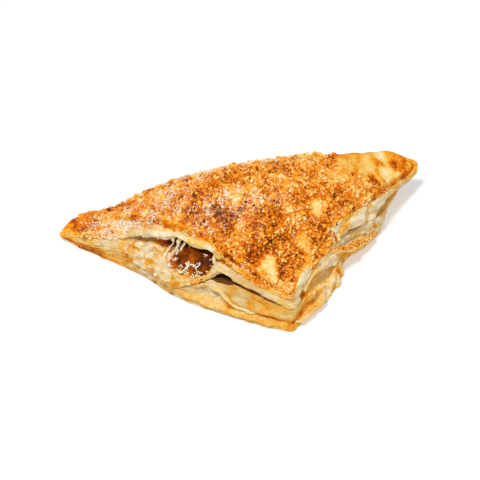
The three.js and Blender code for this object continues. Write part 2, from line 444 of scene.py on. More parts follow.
    def gap_point(self, edge: Edge, gap: Gap, share: float) -> Array:
        """Points inside a gap.

        Args:
            edge: the leaves at each column.
            gap: the gap.
            share: in along its roof from 0 to 0.5, then out along its floor to 1.

        Returns:
            One point for each column.
        """
        inward = 1.0 - abs(2.0 * share - 1.0)
        lip = gap.top if share < 0.5 else gap.bottom
        z = mix(lip, (gap.top + gap.bottom) / 2.0, inward**3)
        return edge.point(z, edge.reach_at(lip) - gap.depth * inward)


def lay(points: Array) -> Array:
    """Points of the dough's frame in the part's frame, in metres."""
    return (points + LAID) * MM


def linear(red: int, green: int, blue: int) -> tuple[float, float, float, float]:
    """A display colour as the linear colour that a shader takes.

    Args:
        red: the red channel, 0 to 255.
        green: the green channel.
        blue: the blue channel.

    Returns:
        The linear channels, and a full alpha.
    """
    channels = [c / 255.0 for c in (red, green, blue)]
    values = [c / 12.92 if c <= 0.04045 else ((c + 0.055) / 1.055) ** 2.4 for c in channels]
    return (*values, 1.0)


def place(name: str, mesh: Mesh, smooth_faces: bool) -> Object:
    """Put a mesh in the scene as an object.

    Args:
        name: the object's name.
        mesh: its mesh.
        smooth_faces: whether its faces are shaded smoothly.

    Returns:
        The new object.
    """
    mesh.polygons.foreach_set("use_smooth", np.full(len(mesh.polygons), smooth_faces))
    piece = bpy.data.objects.new(name, mesh)
    bpy.context.scene.collection.objects.link(piece)
    return piece


def carry(piece: Object, finish: Material) -> None:
    """Fix a piece to the turnover and give it its finish.

    Args:
        piece: the piece.
        finish: its material.
    """
    piece.data.materials.append(finish)
    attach(piece, "root")
    LOG.info("%s has %d faces", piece.name, len(piece.data.polygons))


def mark(mesh: Mesh, marks: dict[str, Array]) -> None:
    """Write values that a material reads.

    Args:
        mesh: the mesh that holds them.
        marks: one value for each vertex, under each name.
    """
    for name, values in marks.items():
        layer = mesh.attributes.new(name, "FLOAT", "POINT")
        layer.data.foreach_set("value", values.astype(np.float32).ravel())


def grid_mesh(name: str, points: Array, marks: dict[str, Array]) -> Mesh:
    """A sheet of quads moved to a table of points.

    Args:
        name: the mesh's name.
        points: table of rows by columns of points, in the dough's frame.
        marks: values for the material to read, one table of rows by columns for each name.

    Returns:
        The mesh.
    """
    rows, columns = points.shape[:2]
    sheet = bmesh.new()
    bmesh.ops.create_grid(sheet, x_segments=columns - 1, y_segments=rows - 1, size=1.0)
    mesh = bpy.data.meshes.new(name)
    sheet.to_mesh(mesh)
    sheet.free()
    mesh.vertices.foreach_set("co", lay(points.reshape(-1, 3)).astype(np.float32).ravel())
    mark(mesh, marks)
    return mesh


def grid_piece(name: str, points: Array, marks: dict[str, Array]) -> Object:
    """A sheet of quads with its seam and poles closed.

    Args:
        name: the piece's name.
        points: table of rows by columns of points.
        marks: values for the material to read.

    Returns:
        The new object, in the scene.
    """
    mesh = grid_mesh(name, points, marks)
    skin = bmesh.new()
    skin.from_mesh(mesh)
    bmesh.ops.remove_doubles(skin, verts=skin.verts, dist=1e-6)
    bmesh.ops.dissolve_degenerate(skin, edges=skin.edges, dist=1e-7)
    bmesh.ops.recalc_face_normals(skin, faces=skin.faces)
    skin.to_mesh(mesh)
    skin.free()
    return place(name, mesh, smooth_faces=True)


class Tree:
    """A node tree that is written node by node."""

    def __init__(self, tree: NodeTree) -> None:
        """Hold the tree to write in."""
        self.tree = tree

    def node(self, kind: str, **settings: object) -> Node:
        """Add a node.

        Args:
            kind: the node's type.
            settings: its properties, by name.

        Returns:
            The new node.
        """
        made = self.tree.nodes.new(kind)
        for name, value in settings.items():
            setattr(made, name, value)
        return made

    def feed(self, source: NodeSocket | float, socket: NodeSocket) -> None:
        """Link a source to a socket, or set the socket to a plain number.

        Args:
            source: the socket to link, or the number.
            socket: the socket that takes it.
        """
        if isinstance(source, (int, float)):
            socket.default_value = source
        else:
            self.tree.links.new(source, socket)

    def sum(self, *terms: tuple[NodeSocket, float]) -> NodeSocket:
        """Add terms, each a source and its weight.

        Args:
            terms: pairs of a source and the number it is multiplied by.

        Returns:
            The socket that holds the sum.
        """
        total: NodeSocket | float = 0.0
        for source, weight in terms:
            step = self.node("ShaderNodeMath", operation="MULTIPLY_ADD")
            self.feed(source, step.inputs[0])
            self.feed(weight, step.inputs[1])
            self.feed(total, step.inputs[2])
            total = step.outputs[0]
        return total

    def times(self, a: NodeSocket, b: NodeSocket | float) -> NodeSocket:
        """Multiply two values.

        Args:
            a: the first.
            b: the second, or a plain number.

        Returns:
            The socket that holds the product.
        """
        step = self.node("ShaderNodeMath", operation="MULTIPLY")
        self.feed(a, step.inputs[0])
        self.feed(b, step.inputs[1])
        return step.outputs[0]

    def mark(self, name: str) -> NodeSocket:
        """The value that the mesh holds under a name."""
        return self.node("ShaderNodeAttribute", attribute_name=name).outputs["Fac"]

    def ramp(self, value: NodeSocket, stops: tuple[Stop, ...]) -> NodeSocket:
        """Colours for a value, eased between stops.

        Args:
            value: the value, 0 to 1.
            stops: the colours and where they stand.

        Returns:
            The socket that holds the colour.
        """
        made = self.node("ShaderNodeValToRGB")
        elements = made.color_ramp.elements
        elements[0].position = stops[0].at
        elements[0].color = stops[0].colour
        elements[1].position = stops[-1].at
        elements[1].color = stops[-1].colour
        for stop in stops[1:-1]:
            elements.new(stop.at).color = stop.colour
        self.feed(value, made.inputs["Fac"])
        return made.outputs["Color"]

    def tint(self, colour: NodeSocket, rgb: tuple[int, int, int], share: NodeSocket) -> NodeSocket:
        """A colour blended towards a plain one.

        Args:
            colour: the colour.
            rgb: the plain colour, 0 to 255 a channel.
            share: how far it is blended, 0 to 1.

        Returns:
            The socket that holds the blend.
        """
        blend = self.node("ShaderNodeMix", data_type="RGBA")
        self.feed(share, blend.inputs[0])
        self.feed(colour, blend.inputs[6])
        blend.inputs[7].default_value = linear(*rgb)
        return blend.outputs[2]

    def speckle(self, size: float, detail: float, stretch: float = 1.0) -> NodeSocket:
        """Noise in the object's own coordinates, about 0 to 1.

        Args:
            size: size of the largest lumps, in millimetres.
            detail: how many finer layers it has.
            stretch: how many times flatter the lumps are than wide.

        Returns:
            The socket that holds the noise.
        """
        place_of = self.node("ShaderNodeTexCoord")
        flat = self.node("ShaderNodeMapping")
        flat.inputs["Scale"].default_value = (1.0, 1.0, stretch)
        noise = self.node("ShaderNodeTexNoise")
        noise.inputs["Scale"].default_value = 1.0 / (size * MM)
        noise.inputs["Detail"].default_value = detail
        noise.inputs["Roughness"].default_value = 0.6
        self.feed(place_of.outputs["Object"], flat.inputs["Vector"])
        self.feed(flat.outputs["Vector"], noise.inputs["Vector"])
        return noise.outputs["Fac"]


@dataclass(frozen=True)
class Stop:
    """One colour of a range, and where it stands in it."""

    at: float
    rgb: tuple[int, int, int]

    @property
    def colour(self) -> tuple[float, float, float, float]:
        """The colour as a shader takes it."""
        return linear(*self.rgb)


OVEN_STOPS = (
    Stop(0.0, (252, 234, 194)),
    Stop(0.15, (248, 218, 154)),
    Stop(0.32, (248, 199, 98)),
    Stop(0.5, (243, 162, 38)),
    Stop(0.66, (222, 116, 10)),
    Stop(0.82, (164, 70, 4)),
    Stop(1.0, (74, 28, 2)),
)
SUGAR_STOPS = (
    Stop(0.3, (245, 218, 188)),
    Stop(0.7, (255, 246, 230)),
)
FILLING_STOPS = (
    Stop(0.36, (60, 24, 0)),
    Stop(0.56, (114, 50, 0)),
    Stop(0.74, (180, 88, 2)),
    Stop(0.88, (208, 122, 22)),
)
# a darker tan for dull dough, which also stands in for painted shade
DULL_SHADE_RGB = (172, 124, 62)
DUST_RGB = (255, 236, 212)
DUST_GRAIN = 1.7  # in millimetres
DUST_BORDER = (0.48, 0.58)  # values of the noise between which a grain of dust begins


@dataclass(frozen=True)
class Finish:
    """A material's plain values."""

    name: str
    roughness: float
    bump_depth: float
    shine: float = 0.3

    def start(self) -> tuple[Material, Tree, Node]:
        """Make the material.

        Returns:
            The material, its tree and its shader.
        """
        material = bpy.data.materials.new(self.name)
        material.use_nodes = True
        shader = material.node_tree.nodes["Principled BSDF"]
        shader.inputs["Roughness"].default_value = self.roughness
        shader.inputs["Specular IOR Level"].default_value = self.shine
        return material, Tree(material.node_tree), shader

    def relief(self, tree: Tree, height: NodeSocket, shader: Node) -> None:
        """Raise and lower the surface by a height.

        Args:
            tree: the material's tree.
            height: the socket that holds the height.
            shader: the shader that takes the relief.
        """
        bump = tree.node("ShaderNodeBump")
        bump.inputs["Strength"].default_value = 1.0
        bump.inputs["Distance"].default_value = self.bump_depth * MM
        tree.feed(height, bump.inputs["Height"])
        tree.feed(bump.outputs["Normal"], shader.inputs["Normal"])


def oven_group() -> NodeTree:
    """Make the colours that dough takes in the oven, duller and darker where fat has soaked it and where
    shade is painted in, under a dust of sugar.

    Returns:
        The group, for the finishes of dough and crumbs.
    """
    group = bpy.data.node_groups.new("oven_colour", "ShaderNodeTree")
    group.interface.new_socket("Bake", in_out="INPUT", socket_type="NodeSocketFloat")
    group.interface.new_socket("DullShade", in_out="INPUT", socket_type="NodeSocketFloat")
    group.interface.new_socket("Dust", in_out="INPUT", socket_type="NodeSocketFloat")
    group.interface.new_socket("Color", in_out="OUTPUT", socket_type="NodeSocketColor")
    tree = Tree(group)
    taken = tree.node("NodeGroupInput")
    given = tree.node("NodeGroupOutput")
    grains = tree.node("ShaderNodeMapRange", interpolation_type="SMOOTHSTEP")
    grains.inputs["From Min"].default_value = DUST_BORDER[0]
    grains.inputs["From Max"].default_value = DUST_BORDER[1]
    tree.feed(tree.speckle(DUST_GRAIN, 3.0), grains.inputs["Value"])
    baked = tree.ramp(taken.outputs["Bake"], OVEN_STOPS)
    dulled_and_shaded = tree.tint(baked, DULL_SHADE_RGB, taken.outputs["DullShade"])
    settled = tree.times(grains.outputs["Result"], taken.outputs["Dust"])
    tree.feed(tree.tint(dulled_and_shaded, DUST_RGB, settled), given.inputs["Color"])
    return group


@dataclass(frozen=True)
class CrustFinish(Finish):
    """Baked dough: browned crust, cream leaves, fine layer lines on the cut edges."""

    name: str = "baked_dough"
    roughness: float = 0.55
    bump_depth: float = 1.1
    shine: float = 0.06
    blotch: float = 7.0
    blotch_strength: float = 0.8
    grain: float = 1.5
    grain_strength: float = 0.6
    leaf: float = 2.4
    leaf_flatness: float = 7.0
    leaf_strength: float = 0.3

    def make(self, oven: NodeTree) -> Material:
        """Make the material.

        Args:
            oven: the group that gives the oven's colours.

        Returns:
            The material.
        """
        material, tree, shader = self.start()
        blotches = tree.speckle(self.blotch, 3.0)
        grains = tree.speckle(self.grain, 4.0)
        lines = tree.times(tree.speckle(self.leaf, 2.0, stretch=self.leaf_flatness), tree.mark("layered"))
        # the noise varies about one half, so half its strength is taken off again
        bake = tree.sum(
            (tree.mark("bake"), 1.0),
            (blotches, self.blotch_strength),
            (grains, self.grain_strength),
            (lines, self.leaf_strength),
            (tree.mark("layered"), -self.leaf_strength / 2.0),
        )
        shift = tree.node("ShaderNodeMath", operation="SUBTRACT", use_clamp=True)
        tree.feed(bake, shift.inputs[0])
        shift.inputs[1].default_value = (self.blotch_strength + self.grain_strength) / 2.0
        colour = tree.node("ShaderNodeGroup", node_tree=oven)
        tree.feed(shift.outputs[0], colour.inputs["Bake"])
        tree.feed(tree.mark("dull_and_shade"), colour.inputs["DullShade"])
        tree.feed(tree.mark("dust"), colour.inputs["Dust"])
        tree.feed(colour.outputs["Color"], shader.inputs["Base Color"])
        self.relief(tree, tree.sum((grains, 0.8), (lines, 0.9)), shader)
        return material


@dataclass(frozen=True)
class CrumbFinish(Finish):
    """Crumbs of sugar and dough, each with its own tone."""

    name: str = "sugar_crumb"
    roughness: float = 0.5
    bump_depth: float = 0.3
    shine: float = 0.08
    grain: float = 0.7
    grain_strength: float = 0.2

    def make(self, oven: NodeTree) -> Material:
        """Make the material.

        Args:
            oven: the group that gives the oven's colours.

        Returns:
            The material.
        """
        material, tree, shader = self.start()
        grains = tree.speckle(self.grain, 3.0)
        colour = tree.node("ShaderNodeGroup", node_tree=oven)
        tone = tree.sum((tree.mark("tone"), 1.0), (grains, self.grain_strength))
        tree.feed(tone, colour.inputs["Bake"])
        tree.feed(tree.mark("dust"), colour.inputs["Dust"])
        tree.feed(colour.outputs["Color"], shader.inputs["Base Color"])
        self.relief(tree, grains, shader)
        return material


@dataclass(frozen=True)
class SugarFinish(Finish):
    """White sugar grains."""

    name: str = "white_sugar"
    roughness: float = 0.3
    bump_depth: float = 0.15
    cloud: float = 0.6

    def make(self) -> Material:
        """Make the material.

        Returns:
            The material.
        """
        material, tree, shader = self.start()
        cloud = tree.speckle(self.cloud, 2.0)
        tree.feed(tree.ramp(cloud, SUGAR_STOPS), shader.inputs["Base Color"])
        self.relief(tree, cloud, shader)
        return material


@dataclass(frozen=True)
class FillingFinish(Finish):
    """Dark glossy fruit filling."""

    name: str = "fruit_filling"
    roughness: float = 0.4
    bump_depth: float = 1.2
    shine: float = 0.05
    cloud: float = 5.0
    top_shade_strength: float = 0.2
    ripple: float = 2.2
    coat: float = 0.02
    coat_roughness: float = 0.1

    def make(self) -> Material:
        """Make the material, lighter towards the filling's foot: painted shade darkens its top, under the
        mouth's roof.

        Returns:
            The material.
        """
        material, tree, shader = self.start()
        cloud = tree.sum((tree.speckle(self.cloud, 4.0), 1.0), (tree.mark("foot"), self.top_shade_strength))
        tree.feed(tree.ramp(cloud, FILLING_STOPS), shader.inputs["Base Color"])
        shader.inputs["Coat Weight"].default_value = self.coat
        shader.inputs["Coat Roughness"].default_value = self.coat_roughness
        self.relief(tree, tree.speckle(self.ripple, 2.0), shader)
        return material


@dataclass(frozen=True)
class Row:
    """One row of the skin."""

    zone: Zone
    share: float


@dataclass(frozen=True)
class Patch:
    """A patch of the crown, in plan, that is paler or browner than the rest."""

    x: float
    y: float
    reach: float
    bake: float

    def share(self, points: Array, noise: Unevenness) -> Array:
        """How much of the patch shows.

        Args:
            points: the places.
            noise: makes its border uneven.

        Returns:
            One value for each place: 1 in the patch's middle, 0 outside it.
        """
        flat = points.reshape(-1, 3) * np.array([1.0, 1.0, 0.0])
        away = np.hypot(flat[:, 0] - self.x, flat[:, 1] - self.y) / self.reach
        uneven = 0.45 * noise.at(flat + 13.0 * self.reach, 1.1 * self.reach, 3)
        return np.exp(-(np.maximum(away + uneven, 0.0) ** 4)).reshape(points.shape[:-1])


@dataclass(frozen=True)
class EdgePatch:
    """A patch of the cut edges that is paler or browner than the rest."""

    way: float
    z: float
    wide: float
    high: float
    bake: float


@dataclass(frozen=True)
class BubbleField:
    """A stretch of cut edge where the layers have swollen into bubbles."""

    zones: tuple[Zone, ...]
    start: float
    end: float
    count: int
    reach: float
    height: float

    def holds(self, row: Row) -> bool:
        """Whether a row lies in the field. Only the outer part of a gap's floor does."""
        return row.zone in self.zones and (row.zone is not Zone.UPPER_GAP or row.share > 0.8)


BUBBLE_FIELDS = (
    BubbleField((Zone.MIDDLE, Zone.UPPER_GAP), 0.28, 0.5, 46, 2.3, 1.5),
    BubbleField((Zone.MIDDLE, Zone.UPPER_GAP), 0.5, 0.68, 34, 1.8, 1),
    BubbleField((Zone.UPPER,), 1.36, 1.72, 24, 3.2, 1.2),
    BubbleField((Zone.MIDDLE,), 1.4, 1.7, 22, 2.8, 1.2),
    BubbleField((Zone.LOWER,), 1.14, 1.5, 26, 2.2, 1),
    BubbleField((Zone.LOWER, Zone.MIDDLE, Zone.UPPER), 2.06, 2.94, 60, 4.5, 0.6),
)


@dataclass(frozen=True)
class Hollow:
    """A small hole or pocket in the cut edges, in millimetres apart from its way; a bake above 0 paints the
    shade inside it.
    """

    way: float
    z: float
    wide: float
    high: float
    deep: float
    bake: float

    def share(self, side: float, way: Array, z: Array) -> Array:
        """How deep in the hollow each point lies: 1 in its middle, 0 outside it."""
        across = (way - self.way) * side / self.wide
        return np.exp(-((across**2 + ((z - self.z) / self.high) ** 2) ** 2))


CROWN_PATCHES = (
    # pale bubbles at the front and on the right tip
    Patch(-5.8, -70.2, 3.6, -0.42),
    Patch(-4.9, -74.6, 2.5, -0.38),
    Patch(-8.5, -68.8, 2.2, -0.26),
    Patch(10.8, -60.2, 3.6, -0.26),
    Patch(23.6, -46.2, 3.4, -0.22),
    Patch(68, -12.6, 3.8, -0.42),
    Patch(68.5, -4.5, 4.2, -0.36),
    Patch(45.5, -17, 4, -0.26),
    Patch(52, -12, 4.5, -0.12),
    Patch(60, -9, 5, -0.14),
    Patch(34, -34, 11, -0.06),
    Patch(38, -26, 8, -0.07),
    # paler crumbs along the ridge
    Patch(-38, -17, 8, -0.1),
    Patch(-26, -18, 8, -0.08),
    Patch(-12, -20, 8, -0.12),
    Patch(3, -18, 8, -0.1),
    Patch(-20, -15, 9, -0.12),
    Patch(-6, -12, 10, -0.14),
    Patch(8, -12, 9, -0.12),
    Patch(21, -15, 8, -0.06),
    # golden crumbs above the mouth
    Patch(-25.3, -49.5, 6, -0.14),
    Patch(-33, -41, 5, -0.12),
    Patch(-19.9, -55.5, 3.5, -0.12),
    # browner places
    Patch(73.3, -6.8, 2.2, 0.26),
    Patch(78.5, -5, 4.5, 0.17),
    Patch(84, -2.5, 5, 0.12),
    Patch(-0.6, -73, 3, 0.2),
    Patch(0.4, -77.5, 3, 0.16),
    Patch(25.5, -50.9, 4.5, 0.14),
    Patch(-10.1, -64.8, 5, 0.18),
    Patch(-17.6, -51.5, 6, 0.14),
    Patch(-20.2, -42.1, 4, 0.16),
    Patch(-23, -46, 6, 0.12),
    Patch(-14, -46, 5, 0.12),
    Patch(-32, -36, 5, 0.12),
    Patch(-9, -50.5, 5, 0.1),
    Patch(-30, -40.6, 2.6, 0.2),
    Patch(-28.5, -43, 2.2, 0.2),
    Patch(-1.6, -59.4, 4, 0.07),
    Patch(3.7, -63.1, 4.5, 0.06),
    Patch(59, -20.5, 2.8, 0.34),
    Patch(-78, -4, 9, 0.08),
    Patch(-84, -3, 5, 0.12),
)

EDGE_PATCHES = (
    EdgePatch(0.06, 1, 0.13, 2.8, 0.2),
    EdgePatch(0.2, 0, 0.12, 2.4, 0.2),
    EdgePatch(0.3, 9, 0.035, 4.4, 0.26),
    EdgePatch(0.62, 10, 0.06, 2.4, 0.12),
    # a darker line along the groove under the middle sheet: painted shade
    EdgePatch(0.84, 4.4, 0.2, 1, 0.3),
    EdgePatch(0.862, 10.6, 0.03, 1.3, 0.28),
    EdgePatch(0.833, 7, 0.018, 1.2, 0.2),
    EdgePatch(0.91, 9.4, 0.05, 1.2, 0.2),
    EdgePatch(0.79, 8.6, 0.03, 2.4, -0.1),
    EdgePatch(0.6, 2, 0.09, 3, 0.08),
    EdgePatch(0.98, 1, 0.12, 3, 0.08),
    EdgePatch(1.11, 2.6, 0.1, 1.6, 0.2),
    EdgePatch(1.47, 12.5, 0.1, 4.5, -0.14),
    EdgePatch(1.1, 11.6, 0.02, 1.4, 0.3),
)

# a bake above 0 paints the shade inside a hole or slit; the first, paler pocket is the dough's own colour
EDGE_HOLLOWS = (
    Hollow(0.68, 5.4, 6.5, 2.6, 3.6, -0.25),
    Hollow(0.705, 21.6, 1.6, 1, 1.6, 0.3),
    Hollow(0.665, 23.2, 1.2, 0.9, 1.2, 0.25),
    Hollow(0.683, 21, 1, 0.8, 1.2, 0.3),
    Hollow(0.724, 22.8, 1.1, 0.6, 1, 0.25),
    Hollow(0.738, 20.6, 1.3, 0.6, 1, 0.25),
    Hollow(0.422, 11.6, 1.6, 1.4, 1.8, 0.34),
    Hollow(1.005, 3.8, 0.9, 0.7, 1.4, 0.3),
    Hollow(1.081, 12.1, 1.3, 1.6, 2.2, 0.4),
    Hollow(1.162, 6.7, 1.5, 1.2, 2, 0.35),
    Hollow(1.5, 14.6, 3.4, 1, 2.4, 0.7),
)

# dulling towards a darker tan: partly fat, partly painted shade on the lower edges, on the flap's inner
# face, which faces down, and on the right tip's wall
DULLNESS_AND_SHADE = {
    Zone.UPPER: along((0, 0), (0.6, 0), (0.7, 0.3), (0.76, 0), (1.4, 0), (1.75, 0.14), (2, 0.3)),
    Zone.CROWN: along(
        (0, 0), (0.12, 0), (0.2, 0.14), (0.38, 0.14), (0.5, 0), (1.5, 0), (1.7, 0.15), (1.8, 0.3),
        (2, 0.36),
    ),
    Zone.UPPER_GAP: along((0, 0.1), (1.4, 0.1), (1.7, 0.3), (2, 0.3)),
    Zone.MIDDLE: along(
        (0, 0.1), (0.6, 0.1), (0.72, 0.15), (0.76, 0.4), (0.88, 0.4), (0.96, 0.15), (1.4, 0.1),
        (2, 0.3),
    ),
    Zone.LOWER_GAP: along((0, 0.2), (1, 0.3), (1.1, 0.05), (1.3, 0.05), (2, 0.3)),
    Zone.LOWER: along(
        (0, 0.2), (0.3, 0.3), (0.6, 0.4), (0.655, 0.08), (0.705, 0.08), (0.75, 0.3), (0.92, 0.26),
        (1, 0.3), (1.1, 0.1), (1.5, 0.1), (2, 0.3),
    ),
}

BROWNING_AND_SHADE = {
    Zone.UPPER: along(
        (0, 0.5), (0.2, 0.48), (0.28, 0.34), (0.36, 0.14), (0.64, 0.1), (0.69, 0.2), (0.75, 0.43),
        (0.93, 0.45), (0.98, 0.32), (1.02, 0.18), (1.1, 0.14), (1.18, 0.24), (1.24, 0.44), (1.3, 0.5),
        (1.37, 0.2), (1.45, 0.14), (1.75, 0.15), (1.86, 0.24), (2, 0.36),
    ),
    Zone.UPPER_GAP: along(
        (0, 0.5), (0.2, 0.3), (0.35, 0.16), (0.62, 0.2), (0.75, 0.4), (1, 0.4), (1.4, 0.12),
        (1.58, 0.14), (1.66, 0.3), (1.74, 0.34), (2, 0.4),
    ),
    Zone.MIDDLE: along(
        (0, 0.5), (0.08, 0.34), (0.15, 0.14), (0.26, 0.2), (0.36, 0.14), (0.55, 0.2), (0.64, 0.34),
        (0.7, 0.26), (0.78, 0.12), (0.95, 0.2), (1.05, 0.12), (1.2, 0.16), (1.35, 0.12), (1.45, 0.1),
        (1.6, 0.1), (1.75, 0.26), (2, 0.36),
    ),
    # values near 1 from way 0.68 to 0.9 paint the shade inside the hollow and the slit under the flap
    Zone.LOWER_GAP: along(
        (0, 0.5), (0.2, 0.36), (0.55, 0.26), (0.68, 1.05), (0.75, 1), (0.81, 0.6), (0.9, 0.5),
        (1.05, 0.36), (1.23, 0.3), (1.4, 0.3), (2, 0.4),
    ),
    Zone.LOWER: along(
        (0, 0.6), (0.2, 0.46), (0.27, 0.32), (0.34, 0.16), (0.5, 0.12), (0.68, 0.1), (0.78, 0.27),
        (0.92, 0.27), (1, 0.26), (1.12, 0.28), (1.3, 0.28), (1.45, 0.38), (1.6, 0.36), (1.75, 0.3),
        (2, 0.36),
    ),
}


@dataclass(frozen=True)
class SugarSpot:
    """A place on the crown, in plan, where sugar has settled."""

    x: float
    y: float
    reach: float
    thick: float


SUGAR_SPOTS = (
    SugarSpot(-74, -10, 6, 0.2),
    SugarSpot(-70.4, -16.8, 7, 0.6),
    SugarSpot(-64, -18, 7, 0.6),
    SugarSpot(-57.5, -26, 8, 0.7),
    SugarSpot(-47.2, -23.9, 5, 0.5),
    SugarSpot(-43.7, -29.1, 5, 0.35),
    SugarSpot(-34.9, -30.8, 4, 0.4),
    SugarSpot(-27.8, -40.7, 5, 0.6),
    SugarSpot(-18.5, -40.5, 5, 0.4),
    SugarSpot(-13.4, -38.6, 4, 0.5),
    SugarSpot(-11.5, -49.1, 5, 0.5),
    SugarSpot(-5.6, -44.1, 4, 0.4),
    SugarSpot(6, -42.6, 4, 0.3),
    SugarSpot(-39, -18, 6, 0.4),
    SugarSpot(-27, -18, 7, 0.5),
    SugarSpot(-12, -15, 8, 0.55),
    SugarSpot(3, -14, 8, 0.5),
    SugarSpot(17, -15, 7, 0.3),
)


def dusted(points: Array) -> Array:
    """How much sugar has settled.

    Args:
        points: the places.

    Returns:
        One value for each place, 0 to 1.
    """
    total = np.zeros(points.shape[:-1])
    for spot in SUGAR_SPOTS:
        away = np.hypot(points[..., 0] - spot.x, points[..., 1] - spot.y)
        total += spot.thick * swell(away, 0.0, spot.reach, 2.0)
    return np.minimum(total, 1.0)


@dataclass
class PastryShell:
    """The dough's whole skin: base, leaves along the cut edges, fold and crown."""

    dough: Dough
    cut_columns: int = 210
    fold_columns: int = 120
    rows_in: dict[Zone, int] = field(
        default_factory=lambda: {
            Zone.BASE: 5,
            Zone.LOWER: 28,
            Zone.LOWER_GAP: 12,
            Zone.MIDDLE: 32,
            Zone.UPPER_GAP: 24,
            Zone.UPPER: 22,
            Zone.CROWN: 60,
        }
    )
    seed: int = 5
    holes: int = 70
    fine_from: float = 0.77
    bare_from: float = 42.0
    bare_front: float = 26.0
    bare_slope: float = 0.3
    crumb_bed: float = 1.4
    lump_size: float = 4.6
    lump_height: float = 0.75
    lump_shade: float = 0.13
    step_share: RimCurve = along(
        (0.06, 0.79), (0.135, 0.798), (0.18, 0.8), (0.23, 0.815), (0.31, 0.835), (0.365, 0.856),
        (0.43, 0.88), (0.47, 0.898), (0.54, 0.914), (0.6, 0.93), (0.645, 0.946), (0.69, 0.94),
        (0.73, 0.927), (0.79, 0.914), (0.845, 0.9), (0.88, 0.914), (0.935, 0.94), (0.98, 0.975),
        (1.02, 0.97), (1.057, 0.948), (1.1, 0.925), (1.167, 0.948), (1.22, 0.985), (1.5, 0.985),
        (1.533, 0.948), (1.657, 0.926), (1.76, 0.916), (1.84, 0.916), (1.9, 0.916), (1.957, 0.93),
        (1.99, 0.955),
    )
    step_drop: RimCurve = along(
        (0.06, 0), (0.14, 1.4), (0.46, 1.4), (0.54, 0.5), (0.64, 0.5), (0.69, 1.2), (0.92, 1.2),
        (0.98, 0.4), (1.04, 0.5), (1.16, 0.5), (1.22, 0), (1.5, 0), (1.58, 1), (1.75, 1.4), (1.96, 1.4),
        (2, 0.4), (2.02, 0),
    )

    @cached_property
    def noise(self) -> Unevenness:
        """The unevenness of the skin's browning."""
        return Unevenness(self.seed + 1)

    def rows(self) -> list[Row]:
        """List the skin's rows.

        Returns:
            The rows, from the middle of the base up to the top of the crown.
        """
        listed = []
        for zone, count in self.rows_in.items():
            for step in range(count):
                t = step / (count - 1)
                share = t if zone is Zone.BASE else 1.0 - t
                if zone is Zone.CROWN:
                    share = self.crown_share(t)
                listed.append(Row(zone, share))
        return listed

    def crown_share(self, t: float) -> float:
        """How far out a row of the crown lies, with half of the rows where the top sheet ends."""
        return mix(1.0, self.fine_from, 2.0 * t) if t < 0.5 else mix(self.fine_from, 0.0, 2.0 * t - 1.0)

    def ways(self) -> Array:
        """Space the columns along the rim.

        Returns:
            The way of each column, with the first column again at the end.
        """
        cut = np.arange(self.cut_columns) / self.cut_columns
        fold = 2.0 + np.arange(self.fold_columns + 1) / self.fold_columns
        return np.concatenate([cut, 1.0 + cut, fold])

    def form(self) -> tuple[Array, list[Row], Array]:
        """Work out the skin.

        Returns:
            The way of each column, the rows, and the table of rows by columns of points.
        """
        way = self.ways()
        edge = self.dough.edge(way)
        rows = self.rows()
        wall = [number for number, row in enumerate(rows) if row.zone not in (Zone.BASE, Zone.CROWN)]
        table = np.zeros((len(rows), len(way), 3))
        for number, row in enumerate(rows):
            if row.zone is Zone.CROWN:
                table[number] = self.dough.crown(edge, row.share)
                sunk = self.below_step(way, row.share) + self.bedded(table[number], row.share)
                table[number, :, 2] -= sunk
            elif row.zone is Zone.BASE:
                table[number] = self.dough.base(edge, row.share)
            else:
                down = 1.0 - (number - wall[0]) / (len(wall) - 1)
                cut = self.cut_point(edge, row)
                table[number] = mix(self.dough.fold(edge, down), cut, edge.opened[:, None])
        self.soften(table, rows, way)
        self.roughen(table, rows, edge)
        table[..., 2] = np.maximum(table[..., 2], 0.0)
        table[:, -1] = table[:, 0]
        return way, rows, table

    def stepped(self, way: Array, share: Array | float) -> Array:
        """Where the crust's top sheet may end short of the cut edge: 1 there, 0 elsewhere."""
        begun = smooth(way - 0.07 - 0.75 * (share - 0.8) + 0.008 * waver(share * 30.0, 1.0), -0.008, 0.02)
        return smooth(self.step_drop.at(way), 0.02, 0.3) * begun

    def past_step(self, way: Array, share: Array | float) -> Array:
        """How far each place lies past the torn end of the crust's top sheet.

        Args:
            way: places on the rim.
            share: how far out they lie on the crown, 0 to 1.

        Returns:
            One difference of shares for each place.
        """
        coarse = 0.005 * waver(way * 4.0, 3.0)
        fine = 0.003 * waver(way * 13.0, 1.0)
        return share - self.step_share.at(way) + coarse + fine

    def torn_end(self, row: Row, way: Array) -> tuple[Array, Array]:
        """How far past its sheet's torn end a row lies, and where there is one, for each column."""
        share = np.full_like(way, row.share)
        return self.past_step(way, share), self.stepped(way, share)

    def below_step(self, way: Array, share: float) -> Array:
        """How far the crown drops past the end of its top sheet.

        Args:
            way: the way of each column.
            share: how far out the row lies on the crown.

        Returns:
            One drop for each column.
        """
        past = self.past_step(way, share)
        groove = 0.9 * swell(past, 0.013, 0.012, 2.0)
        curl = 0.3 * swell(past, -0.01, 0.012, 2.0)
        drop = np.clip(self.step_drop.at(way), 0.0, None) * self.stepped(way, share)
        return drop * (smooth(past, -0.004, 0.008) + groove - curl)

    def bedded(self, points: Array, share: float) -> Array:
        """How much lower the crown lies under its crumbs, and in the dip at the end of the left tip.

        Args:
            points: one row of the crown.
            share: how far out the row lies.

        Returns:
            One depth for each point.
        """
        crumbed = 1.0 - smooth(self.bare(points), -5.0, 2.0)
        dip = 1.6 * swell(np.hypot(points[:, 0] + 60.5, points[:, 1] + 8.0), 0.0, 5.5, 2.0)
        return self.crumb_bed * crumbed * (1.0 - smooth(np.array(share), 0.88, 1.0)) + dip

